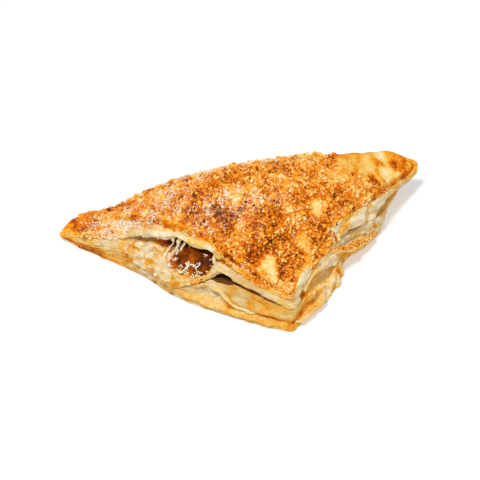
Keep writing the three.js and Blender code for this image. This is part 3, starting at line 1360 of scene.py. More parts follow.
    def bare(self, points: Array) -> Array:
        """How far each point lies inside the right tip's bare crust, which carries no crumbs.

        Args:
            points: the places.

        Returns:
            One distance for each place, below 0 outside it.
        """
        right = points[..., 0] - self.bare_from
        front = points[..., 1] + self.bare_front - self.bare_slope * right
        return np.minimum(right, front)

    def strewn(self, points: Array) -> Array:
        """Where crumbs cover the crust: 1 there, 0 on the bare right tip."""
        return 1.0 - smooth(self.bare(points), -6.0, 3.0)

    def blistered(self, points: Array) -> Array:
        """Where the left tip's crust has blistered: 1 there, 0 elsewhere."""
        return smooth(-points[..., 0], 34.0, 56.0)

    def lumps(self, points: Array) -> Array:
        """How high the crumbs are heaped: about 1 on the heaps, -1 in the dips, 0 where the crust is bare.

        Args:
            points: the places.

        Returns:
            One value for each place.
        """
        crumbed = self.strewn(points) * (1.0 - 0.7 * smooth(-points[..., 0], 50.0, 64.0))
        uneven = self.noise.at(points.reshape(-1, 3) + 110.0, self.lump_size, 2)
        return crumbed * uneven.reshape(points.shape[:-1])

    def soften(self, table: Array, rows: list[Row], way: Array) -> None:
        """Round the crust's edge in place, most of all at the left tip and beside the front corner.

        Args:
            table: the skin's points.
            rows: the rows of the skin.
            way: the way of each column.
        """
        near = [
            number
            for number, row in enumerate(rows)
            if row.zone is Zone.UPPER or (row.zone is Zone.CROWN and row.share > 0.86)
        ]
        low, high = near[0], near[-1] + 1
        tip = 1.0 - smooth(way, 0.2, 0.34)
        corner = 0.8 * swell(way, 1.22, 0.16)
        fold = 0.5 * swell(way, 2.5, 0.47, 8.0)
        weight = np.clip(tip + corner + fold, 0.04, 1.0)[:, None] * 0.5
        for _ in range(26):
            band = table[low:high]
            between = (band[:-2] + band[2:]) / 2.0
            band[1:-1] += weight * (between - band[1:-1])

    def roughen(self, table: Array, rows: list[Row], edge: Edge) -> None:
        """Raise and lower the skin in place: lumps, bubbles, and the fine edges of the layers.

        Args:
            table: the skin's points.
            rows: the rows of the skin.
            edge: the leaves at each column.
        """
        rng = np.random.default_rng(self.seed)
        noise = Unevenness(self.seed)
        shape = table.shape[:2]
        points = table.reshape(-1, 3)
        flat = points * np.array([0.2, 0.2, 1.0])
        cut = np.zeros(shape)
        skin = np.zeros(shape)
        torn = np.zeros(shape)
        smooth_roll = 1.0 - 0.7 * swell(edge.way, 0.5, 0.16)
        for number, row in enumerate(rows):
            if row.zone is Zone.CROWN:
                past, stepped = self.torn_end(row, edge.way)
                torn[number] = smooth(past, 0.0, 0.02) * stepped
                skin[number] = 1.0
            elif row.zone is not Zone.BASE:
                cut[number] = edge.opened * (smooth_roll if row.zone is Zone.UPPER else 1.0)
                skin[number] = 1.0 - edge.opened
        lumps = 0.5 * noise.at(points, 9.0, 2) + 0.22 * noise.at(points, 2.2, 2)
        blisters = 0.5 * noise.at(points, 4.5) + 0.25 * noise.at(points, 1.6)
        layers = 0.42 * noise.at(flat, 1.0) + 0.2 * noise.at(flat, 0.45)
        rise = skin * lumps.reshape(shape) + cut * (blisters + layers).reshape(shape)
        rise += 0.5 * torn * smooth_roll * noise.at(points + 60.0, 2.4, 2).reshape(shape)
        rise += self.lump_height * skin * (1.0 - torn) * self.lumps(table)
        rough = skin * self.blistered(table)
        rise += 0.4 * rough * noise.at(points + 80.0, 3.2, 2).reshape(shape)
        rise += self.bubbles(table, rows, edge.way)[0]
        rise -= cut * self.pits(table, rows, edge, rng)
        rise -= cut * self.hollows(table, edge)
        across = np.gradient(table, axis=1)
        up = np.gradient(table, axis=0)
        normal = np.cross(across, up)
        length = np.linalg.norm(normal, axis=2, keepdims=True)
        normal = normal / np.maximum(length, 1e-9)
        table += normal * rise[..., None]
        walls = [number for number, row in enumerate(rows) if row.zone not in (Zone.BASE, Zone.CROWN)]
        band = table[walls[0] : walls[-1] + 1]
        for _ in range(2):
            band[1:-1] += 0.3 * ((band[:-2] + band[2:]) / 2.0 - band[1:-1])
            band[:, 1:-1] += 0.15 * ((band[:, :-2] + band[:, 2:]) / 2.0 - band[:, 1:-1])

    def bubbles(self, table: Array, rows: list[Row], way: Array) -> tuple[Array, Array]:
        """The round bubbles that the layers have swollen into.

        Args:
            table: the skin's points.
            rows: the rows of the skin.
            way: the way of each column.

        Returns:
            Two tables of rows by columns: how far each point is raised, and how deep in a crease it lies.
        """
        rng = np.random.default_rng(self.seed + 2)
        rise = np.zeros(table.shape[:2])
        crease = np.zeros(table.shape[:2])
        for field_of in BUBBLE_FIELDS:
            picked = [number for number, row in enumerate(rows) if field_of.holds(row)]
            inside = np.flatnonzero((way > field_of.start) & (way < field_of.end))
            ends = smooth(way[inside], field_of.start, field_of.start + 0.03)
            ends = ends * (1.0 - smooth(way[inside], field_of.end - 0.03, field_of.end))
            part = table[np.ix_(picked, inside)]
            at_row = rng.integers(0, len(picked), field_of.count)
            at_column = rng.integers(0, len(inside), field_of.count)
            centres = part[at_row, at_column]
            sizes = field_of.reach * rng.uniform(0.5, 1.6, field_of.count)
            away = np.linalg.norm(part[:, :, None] - centres, axis=3) / sizes
            uneven = 0.34 * self.noise.at(part.reshape(-1, 3) + 40.0, 1.8, 2).reshape(part.shape[:2])
            near = np.clip(away.min(axis=2) + uneven, 0.0, 1.0)
            rise[np.ix_(picked, inside)] = field_of.height * (1.0 - near**2) * ends
            crease[np.ix_(picked, inside)] = smooth(near, 0.45, 0.95) * ends
        return rise, crease

    def pits(self, table: Array, rows: list[Row], edge: Edge, rng: np.random.Generator) -> Array:
        """Depths of the burst bubbles in the dough round the mouth and along the right cut edge.

        Args:
            table: the skin's points.
            rows: the rows of the skin.
            edge: the leaves at each column.
            rng: picks where they are.

        Returns:
            A table of rows by columns of depths.
        """
        wall = [
            number
            for number, row in enumerate(rows)
            if row.zone in (Zone.LOWER, Zone.MIDDLE) or (row.zone is Zone.UPPER_GAP and row.share > 0.8)
        ]
        depth = np.zeros(table.shape[:2])
        for number in range(self.holes):
            way = rng.uniform(0.28, 0.66) if number % 4 else rng.uniform(1.05, 1.85)
            column = int(np.argmin(np.abs(edge.way - way)))
            centre = table[rng.choice(wall), column]
            reach = rng.uniform(0.6, 2.1)
            away = np.linalg.norm(table - centre, axis=2) / reach
            dent = np.clip(1.0 - away**2, 0.0, 1.0) ** 1.2
            rim = swell(away, 1.1, 0.3, 2.0)
            depth = np.maximum(depth, 0.6 * reach * dent) - 0.15 * rim * (depth < 0.05)
        return depth

    def hollows(self, table: Array, edge: Edge) -> Array:
        """Depths of the small holes and pockets.

        Args:
            table: the skin's points.
            edge: the leaves at each column.

        Returns:
            A table of rows by columns of depths.
        """
        depth = np.zeros(table.shape[:2])
        for hollow in EDGE_HOLLOWS:
            depth = np.maximum(depth, hollow.deep * hollow.share(self.dough.side, edge.way, table[..., 2]))
        return depth

    def build(self, finish: Material) -> Object:
        """Make the skin.

        Args:
            finish: its material.

        Returns:
            The skin's object.
        """
        way, rows, table = self.form()
        piece = grid_piece("pastry_shell", table, ShellTones(self, way, rows, table).marks())
        carry(piece, finish)
        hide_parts("pastry")
        return piece

    def cut_point(self, edge: Edge, row: Row) -> Array:
        """Points of one row along the cut edges.

        Args:
            edge: the leaves at each column.
            row: the row.

        Returns:
            One point for each column.
        """
        dough = self.dough
        way = edge.way
        if row.zone is Zone.UPPER_GAP:
            return dough.gap_point(edge, edge.upper, row.share)
        if row.zone is Zone.LOWER_GAP:
            return dough.gap_point(edge, edge.lower, row.share)
        if row.zone is Zone.UPPER:
            roll = swell(way, 0.5, 0.2)
            border = 0.3 + 0.1 * waver(way, 2.0)
            groove = (1.3 - roll) * swell(row.share, border, 0.09, 2.0)
            proud = 1.9 * roll * math.sin(math.pi * row.share**0.8) - groove
            return self.leaf_point(edge, edge.crust_z, edge.upper.top, row.share, 1.0, proud)
        if row.zone is Zone.MIDDLE:
            proud = edge.flap * math.sin(math.pi * row.share)
            return self.leaf_point(edge, edge.upper.bottom, edge.lower.top, row.share, 5.0, proud)
        gap_line = 2.2 * swell(way, 0.84, 0.2) * swell(row.share, 0.7, 0.06, 2.0)
        slot = 3.0 * swell(way, 1.11, 0.09) * swell(row.share, 0.62, 0.16, 2.0)
        crease = 0.7 * swell(row.share, 0.36 + 0.08 * waver(way, 3.0), 0.07, 2.0)
        sunk = gap_line + slot + crease
        return self.leaf_point(edge, edge.lower.bottom, edge.base_z, row.share, 7.0, -sunk)

    def leaf_point(
        self, edge: Edge, top: Array, bottom: Array, share: float, phase: float, proud: Array
    ) -> Array:
        """Points of a stretch of cut edge.

        Args:
            edge: the leaves at each column.
            top: height where the stretch begins.
            bottom: height where it ends.
            share: how far down the stretch the row lies.
            phase: picks its unevenness.
            proud: how far it stands out past the rest, for each column.

        Returns:
            One point for each column.
        """
        z = mix(top, bottom, share)
        ends = math.sin(math.pi * share) ** 0.5 if 0.0 < share < 1.0 else 0.0
        stray = self.dough.ply_stray * waver(edge.way, phase + 2.0 * share)
        return edge.point(z, edge.reach_at(z) + ends * (0.6 * stray + proud))


@dataclass
class ShellTones:
    """How a skin's points are browned, dulled, dusted and darkened by painted shade, as tables of rows by
    columns.
    """

    shell: PastryShell
    way: Array
    rows: list[Row]
    table: Array
    crumb_browning: float = 0.2
    # its rise past way 1.75 paints the shade on the right tip's wall, under the crust's edge
    band_browning_and_shade: RimCurve = along(
        (0.06, 0.42), (0.14, 0.34), (0.24, 0.3), (0.3, 0.36), (0.39, 0.38), (0.45, 0.14), (0.64, 0.1),
        (0.69, 0.14), (0.74, 0.48), (0.94, 0.48), (1, 0.3), (1.06, 0.18), (1.2, 0.2), (1.5, 0.24),
        (1.6, 0.26), (1.75, 0.28), (1.9, 0.3), (2, 0.34),
    )

    @cached_property
    def bubbles(self) -> tuple[Array, Array]:
        """How far the bubbles raise each point, and how deep in a crease it lies."""
        return self.shell.bubbles(self.table, self.rows, self.way)

    def uneven(self, shift: float, size: float) -> Array:
        """Unevenness of a size in millimetres at each point, in the course that the shift picks."""
        points = self.table.reshape(-1, 3) + shift
        return self.shell.noise.at(points, size, 3).reshape(self.table.shape[:2])

    def marks(self) -> dict[str, Array]:
        """Values for the material.

        Returns:
            The table of each value, by its name.
        """
        way = self.way
        crust = self.crust()
        leaf = self.leaf()
        bake = crust.copy()
        layered = np.zeros(crust.shape)
        for number, row in enumerate(self.rows):
            if row.zone is Zone.CROWN:
                past, stepped = self.shell.torn_end(row, way)
                band = self.band_browning_and_shade.at(way) + 1.5 * leaf[number]
                # a darker line just past the top sheet's torn end: the sheet's browned edge with painted
                # shadow under it
                edge_line_and_shadow = (0.36 + 0.14 * smooth(way, 1.62, 1.76)) * swell(past, 0.01, 0.011, 2.0)
                lip = self.crumb_browning * swell(past, -0.012, 0.02, 2.0)
                torn = smooth(past, -0.002, 0.008) * stepped
                bake[number] = mix(crust[number], band, torn) + (edge_line_and_shadow - lip) * stepped
            elif row.zone is Zone.BASE:
                bake[number] = crust[number] - self.crumb_browning
            else:
                cut = BROWNING_AND_SHADE[row.zone].at(way) + leaf[number] + self.inside(row)
                bare = smooth(way, 0.0, 0.03) * (1.0 - smooth(way, 1.975, 2.0))
                bake[number] = mix(crust[number], cut, bare)
                layered[number] = bare * (1.0 - smooth(cut, 0.3, 0.5))
        return {"bake": bake, "layered": layered, "dull_and_shade": self.dull_and_shade(), "dust": self.dust()}

    def crust(self) -> Array:
        """How browned the crust would be.

        Returns:
            A table of tones.
        """
        shell = self.shell
        table = self.table
        crust = 0.48 + 0.12 * self.uneven(0.0, 11.0)
        tips = shell.blistered(table) + smooth(shell.bare(table), 0.0, 6.0)
        crust += 0.14 * tips * self.uneven(45.0, 4.2)
        tip = smooth(-table[..., 0], 52.0, 74.0)
        behind = smooth(self.way, 2.0, 2.05) * (1.0 - smooth(self.way, 2.95, 3.0))
        below = behind * (1.0 - smooth(table[..., 2], 6.0, 24.0))
        crust += self.crumb_browning * shell.strewn(table) * (1.0 - 0.8 * tip) * (1.0 - below)
        for patch in CROWN_PATCHES:
            crust += patch.bake * patch.share(table, shell.noise)
        # paler on the crumbs' heaps, darker in the dips between them: painted shade
        crust -= 0.12 * dusted(table) + shell.lump_shade * shell.lumps(table)
        return crust

    def leaf(self) -> Array:
        """How much browner than its band the dough of the cut edges is, with painted shade in the creases
        between bubbles, in a groove and inside the holes.

        Returns:
            A table of differences, below 0 where it is paler.
        """
        leaf = 0.18 * self.uneven(0.0, 6.0)
        raised, crease = self.bubbles
        # painted shade in the creases between bubbles, and a painted highlight on their tops
        leaf += 0.26 * crease - 0.1 * (raised > 0.0)
        height = self.table[..., 2]
        for spot in EDGE_PATCHES:
            across = ((self.way - spot.way) / spot.wide)[None]
            leaf += spot.bake * np.exp(-(across**4) - ((height - spot.z) / spot.high) ** 4)
        # darker inside the holes: painted shade
        for hollow in EDGE_HOLLOWS:
            leaf += hollow.bake * hollow.share(self.shell.dough.side, self.way, height)
        return leaf

    def dull_and_shade(self) -> Array:
        """How much fat has dulled the cut edges, and how much painted shade darkens them, most on the lower
        edges, the flap's inner face and the right tip's wall.

        Returns:
            A table of shares.
        """
        way = self.way
        opened = self.shell.dough.edge(way).opened
        dull_and_shade = np.zeros(self.table.shape[:2])
        for number, row in enumerate(self.rows):
            if row.zone in DULLNESS_AND_SHADE:
                spotted = smooth(self.shell.noise.at(self.table[number] + 25.0, 4.0, 2), 0.1, 0.6)
                stain = 0.3 * spotted * (1.0 - smooth(way, 0.5, 0.6))
                dull_and_shade[number] = (DULLNESS_AND_SHADE[row.zone].at(way) + stain) * opened
            if row.zone is Zone.CROWN:
                past, stepped = self.shell.torn_end(row, way)
                dull_and_shade[number] *= smooth(past, 0.0, 0.012) * stepped
        return dull_and_shade

    def dust(self) -> Array:
        """How much sugar dust lies on the skin.

        Returns:
            A table of shares.
        """
        way = self.way
        dust = np.zeros(self.table.shape[:2])
        raised, crease = self.bubbles
        for number, row in enumerate(self.rows):
            if row.zone is Zone.CROWN:
                past, stepped = self.shell.torn_end(row, way)
                lip = stepped * swell(past, -0.006, 0.036)
                band = smooth(past, 0.03, 0.05) * stepped
                settled = dusted(self.table[number]) * (1.0 - lip) * (1.0 - 0.4 * band)
                dust[number] = settled + 0.16 * band * (1.0 - smooth(way, 0.24, 0.36))
            elif row.zone is Zone.UPPER:
                dust[number] = dusted(self.table[number]) * (1.0 - smooth(way, 0.24, 0.32))
            elif row.zone in (Zone.MIDDLE, Zone.UPPER_GAP):
                dust[number] = 0.6 * (raised[number] > 0.0) * (1.0 - crease[number]) * (way < 0.5)
        return np.clip(dust, 0.0, 0.85)

    def inside(self, row: Row) -> Array:
        """How much browner the dough is inside the gaps: in the mouth, where the filling has soaked it and
        shade is painted under the roof and deep on the floor, and deep in the slit of the right cut edge,
        where shade is painted.

        Args:
            row: one row of the skin.

        Returns:
            One difference for each column.
        """
        way = self.way
        if row.zone is not Zone.UPPER_GAP:
            return np.zeros_like(way)
        inward = np.full_like(way, 1.0 - abs(2.0 * row.share - 1.0))
        soaked_and_shaded = smooth(inward, 0.02, 0.2)
        if row.share > 0.5:
            corner = swell(way, 0.415, 0.035)
            soaked_and_shaded = mix(smooth(inward, 0.3, 0.7), smooth(inward, 0.05, 0.3), corner)
        # painted shade under the mouth's roof and deep inside it, together with the filling's soaking
        mouth = (0.68 + 0.2 * swell(way, 0.44, 0.06)) * soaked_and_shaded * swell(way, 0.53, 0.19)
        # the second term paints the shade deep in the slit of the right cut edge
        return mouth + 0.6 * smooth(inward, 0.2, 0.6) * swell(way, 1.49, 0.05)


@dataclass(frozen=True)
class Leaf:
    """One thin flake of dough that stands out of a cut edge."""

    height: tuple[tuple[float, float], ...]
    reach: tuple[tuple[float, float], ...]
    rooted: float = 6.0
    lift: float = 0.0
    curl: float = 0.0
    thick: float = 0.8
    ragged: float = 0.7
    ripple: float = 0.5
    bake: tuple[float, float] = (0.15, 0.35)
    crumbs: int = 0

    @property
    def span(self) -> tuple[float, float]:
        """The ways where the flake begins and ends."""
        return self.height[0][0], self.height[-1][0]


FLAKES = (
    # thin leaves of the left tip's wall
    Leaf(((0.1, 6), (0.16, 7.6), (0.22, 9.8), (0.275, 12)),
         ((0.1, -0.1), (0.16, -0.5), (0.22, -1.1), (0.275, -1.9)),
         rooted=3, lift=-0.3, thick=0.5, ragged=0.5, bake=(0.1, 0.2)),
    Leaf(((0.12, 4), (0.18, 5.2), (0.25, 7), (0.3, 8.4)),
         ((0.12, 0.6), (0.18, 0.4), (0.25, 0.3), (0.3, 0)),
         rooted=3, lift=-0.3, thick=0.5, ragged=0.6, bake=(0.12, 0.3)),
    # middle sheet under the flap, which curls up beside the pocket
    Leaf(((0.655, 8.6), (0.69, 9.6), (0.715, 10.1), (0.741, 7.7), (0.776, 5.6), (0.82, 5), (0.88, 4.6)),
         ((0.655, 4.4), (0.69, 4.4), (0.715, 3.9), (0.741, 4.9), (0.776, 5.4), (0.82, 5.2), (0.88, 4.4)),
         rooted=5, lift=0.2, thick=1, ragged=0.5, ripple=0.3, bake=(0.1, 0.12)),
    # bottom crust
    Leaf(((0.5, 1.4), (0.6, 1.6), (0.75, 1.9), (0.9, 1.7), (1, 1.5)),
         ((0.5, 5.6), (0.6, 7.8), (0.75, 7.6), (0.9, 6.4), (1, 3.2)),
         thick=1.8, ragged=0.6, bake=(0.2, 0.36)),
    # lip of the slot beside the front corner
    Leaf(((1, 1.3), (1.08, 1.6), (1.16, 2.2), (1.24, 3)),
         ((1, 2.4), (1.08, 4.8), (1.16, 5.4), (1.24, 3.2)),
         lift=0.6, curl=0.8, thick=1, bake=(0.34, 0.2)),
    # crumbed ledge on the right cut edge
    Leaf(((1.28, 18), (1.36, 14.5), (1.45, 9.6), (1.55, 6.4), (1.64, 5.2)),
         ((1.28, -1), (1.36, 1), (1.45, 2.4), (1.55, 3), (1.64, 1.6)),
         lift=-0.4, thick=1.2, ragged=0.9, bake=(0.26, 0.32), crumbs=420),
)


@dataclass(frozen=True)
class Web:
    """A strand of dough drawn out between the roof and the floor of the mouth."""

    top: float
    foot: float
    inset: float
    wide: float
    bake: float = 0.0


WEBS = (
    Web(0.487, 0.466, 1.2, 2.6),
    Web(0.497, 0.478, 2.6, 1.6),
    Web(0.509, 0.49, 1.6, 1.1),
    Web(0.472, 0.448, 3.2, 1.4, 0.2),
    Web(0.522, 0.5, 3.4, 1, 0.2),
    Web(0.656, 0.672, 0.3, 2.4),
    Web(0.674, 0.682, 0.3, 2.4, 0.1),
    Web(0.464, 0.452, 0.2, 1.4),
)


@dataclass
class PastryLeaves:
    """The thin flakes along the cut edges and the strands across the mouth."""

    dough: Dough
    step: float = 0.55
    rows: int = 9
    seed: int = 12

    def build(self, finish: Material) -> Object:
        """Make the flakes as one piece.

        Args:
            finish: their material.

        Returns:
            The flakes' object.
        """
        joined = bmesh.new()
        for number, leaf in enumerate(FLAKES):
            mesh = self.sheet(leaf, number)
            joined.from_mesh(mesh)
            bpy.data.meshes.remove(mesh)
        for number, web in enumerate(WEBS):
            mesh = self.strand(web, number)
            joined.from_mesh(mesh)
            bpy.data.meshes.remove(mesh)
        mesh = bpy.data.meshes.new("pastry_leaves")
        joined.to_mesh(mesh)
        joined.free()
        piece = place("pastry_leaves", mesh, smooth_faces=True)
        carry(piece, finish)
        return piece

    def table(self, leaf: Leaf, number: int) -> Array:
        """Where one flake's middle lies.

        Args:
            leaf: the flake.
            number: picks its unevenness.

        Returns:
            A table of rows by columns of points, from its root to its tip.
        """
        first, last = leaf.span
        columns = max(12, int(abs(last - first) * self.dough.side / self.step))
        way = np.linspace(first, last, columns)
        edge = self.dough.edge(way)
        noise = Unevenness(self.seed + number)
        height = along(*leaf.height).at(way)
        tip = along(*leaf.reach).at(way)
        t_way = (way - first) / (last - first)
        taper = np.clip(4.0 * np.minimum(t_way, 1.0 - t_way) + 0.15, 0.0, 1.0) ** 0.6
        table = np.zeros((self.rows, columns, 3))
        for row in range(self.rows):
            t = row / (self.rows - 1)
            spots = np.column_stack([way * self.dough.side, np.full(columns, 3.0 * t), np.zeros(columns)])
            torn = leaf.ragged * noise.at(spots, 3.0, 3) * t
            wave = leaf.ripple * noise.at(spots + 30.0, 5.0, 2)
            out = tip - leaf.rooted * (1.0 - t * taper) + torn
            table[row] = edge.point(height + leaf.lift * t + leaf.curl * t * t + wave * t, out)
        return table

    def sheet(self, leaf: Leaf, number: int) -> Mesh:
        """One flake, with its thickness, as a mesh.

        Args:
            leaf: the flake.
            number: picks its unevenness.

        Returns:
            Its mesh.
        """
        table = self.table(leaf, number)
        bake = np.linspace(leaf.bake[0], leaf.bake[1], self.rows)[:, None] * np.ones(table.shape[1])
        return self.thicken(table, bake, leaf.thick)

    def strand(self, web: Web, number: int) -> Mesh:
        """One strand across the mouth as a mesh.

        Args:
            web: the strand.
            number: picks its unevenness.

        Returns:
            Its mesh.
        """
        t = np.linspace(0.0, 1.0, 14)
        middle = mix(web.top, web.foot, t) + 0.006 * waver(t, number + 1.0)
        table = np.zeros((len(t), 5, 3))
        for column in range(5):
            side = (column / 4.0 - 0.5) * web.wide * (0.45 + 1.1 * (2.0 * t - 1.0) ** 2)
            edge = self.dough.edge(middle + side / self.dough.side)
            z = mix(edge.upper.top + 0.6, edge.upper.bottom - 0.6, t)
            bow = 1.2 * np.sin(np.pi * t) + 0.4 * waver(t + 0.1 * column, number + 4.0)
            table[:, column] = edge.point(z, edge.reach_at(z) - web.inset - bow)
        return self.thicken(table, np.full(table.shape[:2], web.bake), 0.5)

    def crumb_spots(self, rng: np.random.Generator) -> Array:
        """Pick places for crumbs on the flakes that carry them.

        Args:
            rng: picks the places.

        Returns:
            One place for each crumb.
        """
        listed = []
        for number, leaf in enumerate(FLAKES):
            if leaf.crumbs:
                table = self.table(leaf, number)
                rows = rng.integers(2, table.shape[0], leaf.crumbs)
                columns = rng.integers(1, table.shape[1] - 1, leaf.crumbs)
                spots = table[rows, columns] + rng.uniform(-0.3, 0.3, (leaf.crumbs, 3))
                spots[:, 2] += leaf.thick / 2.0
                listed.append(spots)
        return np.vstack(listed)

    def thicken(self, table: Array, bake: Array, thick: float) -> Mesh:
        """A grid moved to a table of points and given a thickness.

        Args:
            table: rows by columns of points.
            bake: how browned each point is.
            thick: the thickness in millimetres.

        Returns:
            The sheet's mesh.
        """
        plain = {"layered": 0.5, "dull_and_shade": 0.08, "dust": 0.0}
        marks = {"bake": bake} | {name: np.full(bake.shape, value) for name, value in plain.items()}
        mesh = grid_mesh("flake", table, marks)
        thickened = bmesh.new()
        thickened.from_mesh(mesh)
        bmesh.ops.recalc_face_normals(thickened, faces=thickened.faces)
        bmesh.ops.solidify(thickened, geom=thickened.faces[:], thickness=thick * MM)
        bmesh.ops.recalc_face_normals(thickened, faces=thickened.faces)
        thickened.to_mesh(mesh)
        thickened.free()
        return mesh


@dataclass(frozen=True)
class HeapSpread:
    """Where small heaps of grains lie on the filling, in ways along the rim and shares of its rows."""

    count: int
    ways: tuple[float, float]
    rows: tuple[float, float]


@dataclass
class FillingBody:
    """The lens of filling, drawn out towards the mouth."""

    dough: Dough
    floor: float = 6.0
    crest: float = 24.0
    inset: float = 22.0
    mouth_inset: float = -0.5
    mouth_at: float = 0.56
    mouth_reach: float = 0.13
    edge_height: float = 11.5
    fullness: float = 0.75
    lump: float = 1.3
    columns: int = 300
    rows: int = 150
    seed: int = 8
    sugar_radius: tuple[float, float] = (0.16, 0.5)
    crumb_radius: tuple[float, float] = (0.25, 0.65)
    sugar_heaps: tuple[HeapSpread, ...] = (
        HeapSpread(15, (0.45, 0.5), (0.46, 0.76)),
        HeapSpread(12, (0.5, 0.64), (0.46, 0.6)),
        HeapSpread(8, (0.57, 0.66), (0.52, 0.72)),
    )
    crumb_heaps: tuple[HeapSpread, ...] = (
        HeapSpread(10, (0.44, 0.485), (0.46, 0.66)),
        HeapSpread(8, (0.5, 0.66), (0.45, 0.5)),
        HeapSpread(3, (0.61, 0.66), (0.5, 0.6)),
    )

    def form(self) -> Array:
        """Work out the filling's skin.

        Returns:
            A table of rows by columns of points, from the bottom up.
        """
        way = 3.0 * np.arange(self.columns + 1) / self.columns
        edge = self.dough.edge(way)
        opened = swell(way, self.mouth_at, self.mouth_reach)
        reach = edge.rim - edge.out * mix(self.inset, self.mouth_inset, opened)[:, None] - self.dough.heart
        half = (self.crest - self.floor) / 2.0
        table = np.zeros((self.rows + 1, self.columns + 1, 3))
        for row in range(self.rows + 1):
            angle = math.pi * (1.0 - row / self.rows)
            across = max(math.sin(angle), 0.0) ** self.fullness
            upright = math.copysign(abs(math.cos(angle)) ** self.fullness, math.cos(angle))
            middle = mix(self.floor + half, self.edge_height, across)
            table[row, :, :2] = self.dough.heart + reach * across
            table[row, :, 2] = middle + upright * half
        noise = Unevenness(self.seed)
        points = table.reshape(-1, 3)
        lumps = self.lump * noise.at(points, 6.0, 2) + 0.4 * noise.at(points, 2.0, 2)
        away = table - np.append(self.dough.heart, self.floor + half)
        away = away / np.maximum(np.linalg.norm(away, axis=2, keepdims=True), 1e-6)
        table += away * lumps.reshape(table.shape[:2] + (1,))
        table[0] = table[0].mean(axis=0)
        table[-1] = table[-1].mean(axis=0)
        table[:, -1] = table[:, 0]
        return table

    def build(self, finish: Material, sugar: Material, crumb: Material) -> Object:
        """Make the filling and the sugar and crumbs that have fallen on it.

        Args:
            finish: the filling's material.
            sugar: the sugar's material.
            crumb: the crumbs' material.

        Returns:
            The filling's object.
        """
        table = self.form()
        # the foot mark makes the filling darker towards its top: painted shade under the mouth's roof
        piece = grid_piece("filling_body", table, {"foot": 1.0 - smooth(table[..., 2], 9.0, 19.0)})
        carry(piece, finish)
        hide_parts("filling")
        rng = np.random.default_rng(self.seed)
        spots = self.heaps(rng, table, self.sugar_heaps)
        sizes = rng.uniform(*self.sugar_radius, len(spots))
        Grains(spots, sizes).build("filling_sugar", Grit.CRYSTAL, 41, sugar)
        spots = self.heaps(rng, table, self.crumb_heaps)
        looks = {"tone": rng.uniform(0.0, 0.2, len(spots)), "dust": np.full(len(spots), 0.8)}
        sizes = rng.uniform(*self.crumb_radius, len(spots))
        Grains(spots, sizes, looks).build("filling_crumbs", Grit.PEBBLE, 42, crumb)
        return piece

    def heaps(self, rng: np.random.Generator, table: Array, spreads: tuple[HeapSpread, ...]) -> Array:
        """Pick places for the grains of small heaps on the filling.

        Args:
            rng: picks the places.
            table: the filling's skin.
            spreads: where the heaps may lie.

        Returns:
            One place for each grain.
        """
        listed = []
        for spread in spreads:
            for _ in range(spread.count):
                column = int(self.columns * rng.uniform(*spread.ways) / 3.0)
                row = int(self.rows * rng.uniform(*spread.rows))
                grains = int(rng.integers(5, 15))
                stray = rng.normal(0.0, 0.6, (grains, 3)) * np.array([1.0, 1.0, 0.8])
                listed.append(table[row, column] + stray)
        return np.vstack(listed)


class Grit(Enum):
    """The rough shapes that scattered grains start from."""

    PEBBLE = "pebble"
    CRYSTAL = "crystal"


def grit_shape(grit: Grit) -> tuple[Array, Array]:
    """The corners and triangles of one grain.

    Args:
        grit: the kind of grain.

    Returns:
        Its corners, about 1 from its middle, and its triangles.
    """
    grain = bmesh.new()
    if grit is Grit.PEBBLE:
        bmesh.ops.create_icosphere(grain, subdivisions=1, radius=1.0)
    else:
        bmesh.ops.create_cube(grain, size=1.4)
        bmesh.ops.triangulate(grain, faces=grain.faces)
    grain.verts.index_update()
    corners = np.array([corner.co[:] for corner in grain.verts])
    faces = np.array([[corner.index for corner in face.verts] for face in grain.faces])
    grain.free()
    return corners, faces


def turns(rng: np.random.Generator, count: int) -> Array:
    """Pick random turns.

    Args:
        rng: picks the turns.
        count: how many.

    Returns:
        One rotation matrix for each turn.
    """
    a = rng.normal(size=(count, 4))
    w, x, y, z = (a / np.linalg.norm(a, axis=1)[:, None]).T
    rows = [
        [1 - 2 * (y * y + z * z), 2 * (x * y - w * z), 2 * (x * z + w * y)],
        [2 * (x * y + w * z), 1 - 2 * (x * x + z * z), 2 * (y * z - w * x)],
        [2 * (x * z - w * y), 2 * (y * z + w * x), 1 - 2 * (x * x + y * y)],
    ]
    return np.moveaxis(np.array(rows), 2, 0)


@dataclass
class Grains:
    """Places and sizes of scattered grains, and values for their material to read."""

    centres: Array
    radii: Array
    marks: dict[str, Array] = field(default_factory=dict)

    def build(self, name: str, grit: Grit, seed: int, finish: Material) -> Object:
        """Join the grains into one mesh.

        Args:
            name: the piece's name.
            grit: the shape they start from.
            seed: picks how they are turned and misshapen.
            finish: their material.

        Returns:
            The new object.
        """
        rng = np.random.default_rng(seed)
        corners, faces = grit_shape(grit)
        count = len(self.centres)
        size = self.radii[:, None, None] * rng.uniform(0.7, 1.15, (count, 1, 3))
        shaped = corners[None] * size * rng.uniform(0.65, 1.3, (count, len(corners), 1))
        points = self.centres[:, None] + np.einsum("nij,nkj->nki", turns(rng, count), shaped)
        joined = faces[None] + len(corners) * np.arange(count)[:, None, None]
        mesh = bpy.data.meshes.new(name)
        mesh.from_pydata(lay(points.reshape(-1, 3)), [], joined.reshape(-1, 3))
        mark(mesh, {name_of: np.repeat(values, len(corners)) for name_of, values in self.marks.items()})
        piece = place(name, mesh, smooth_faces=False)
        carry(piece, finish)
        return piece


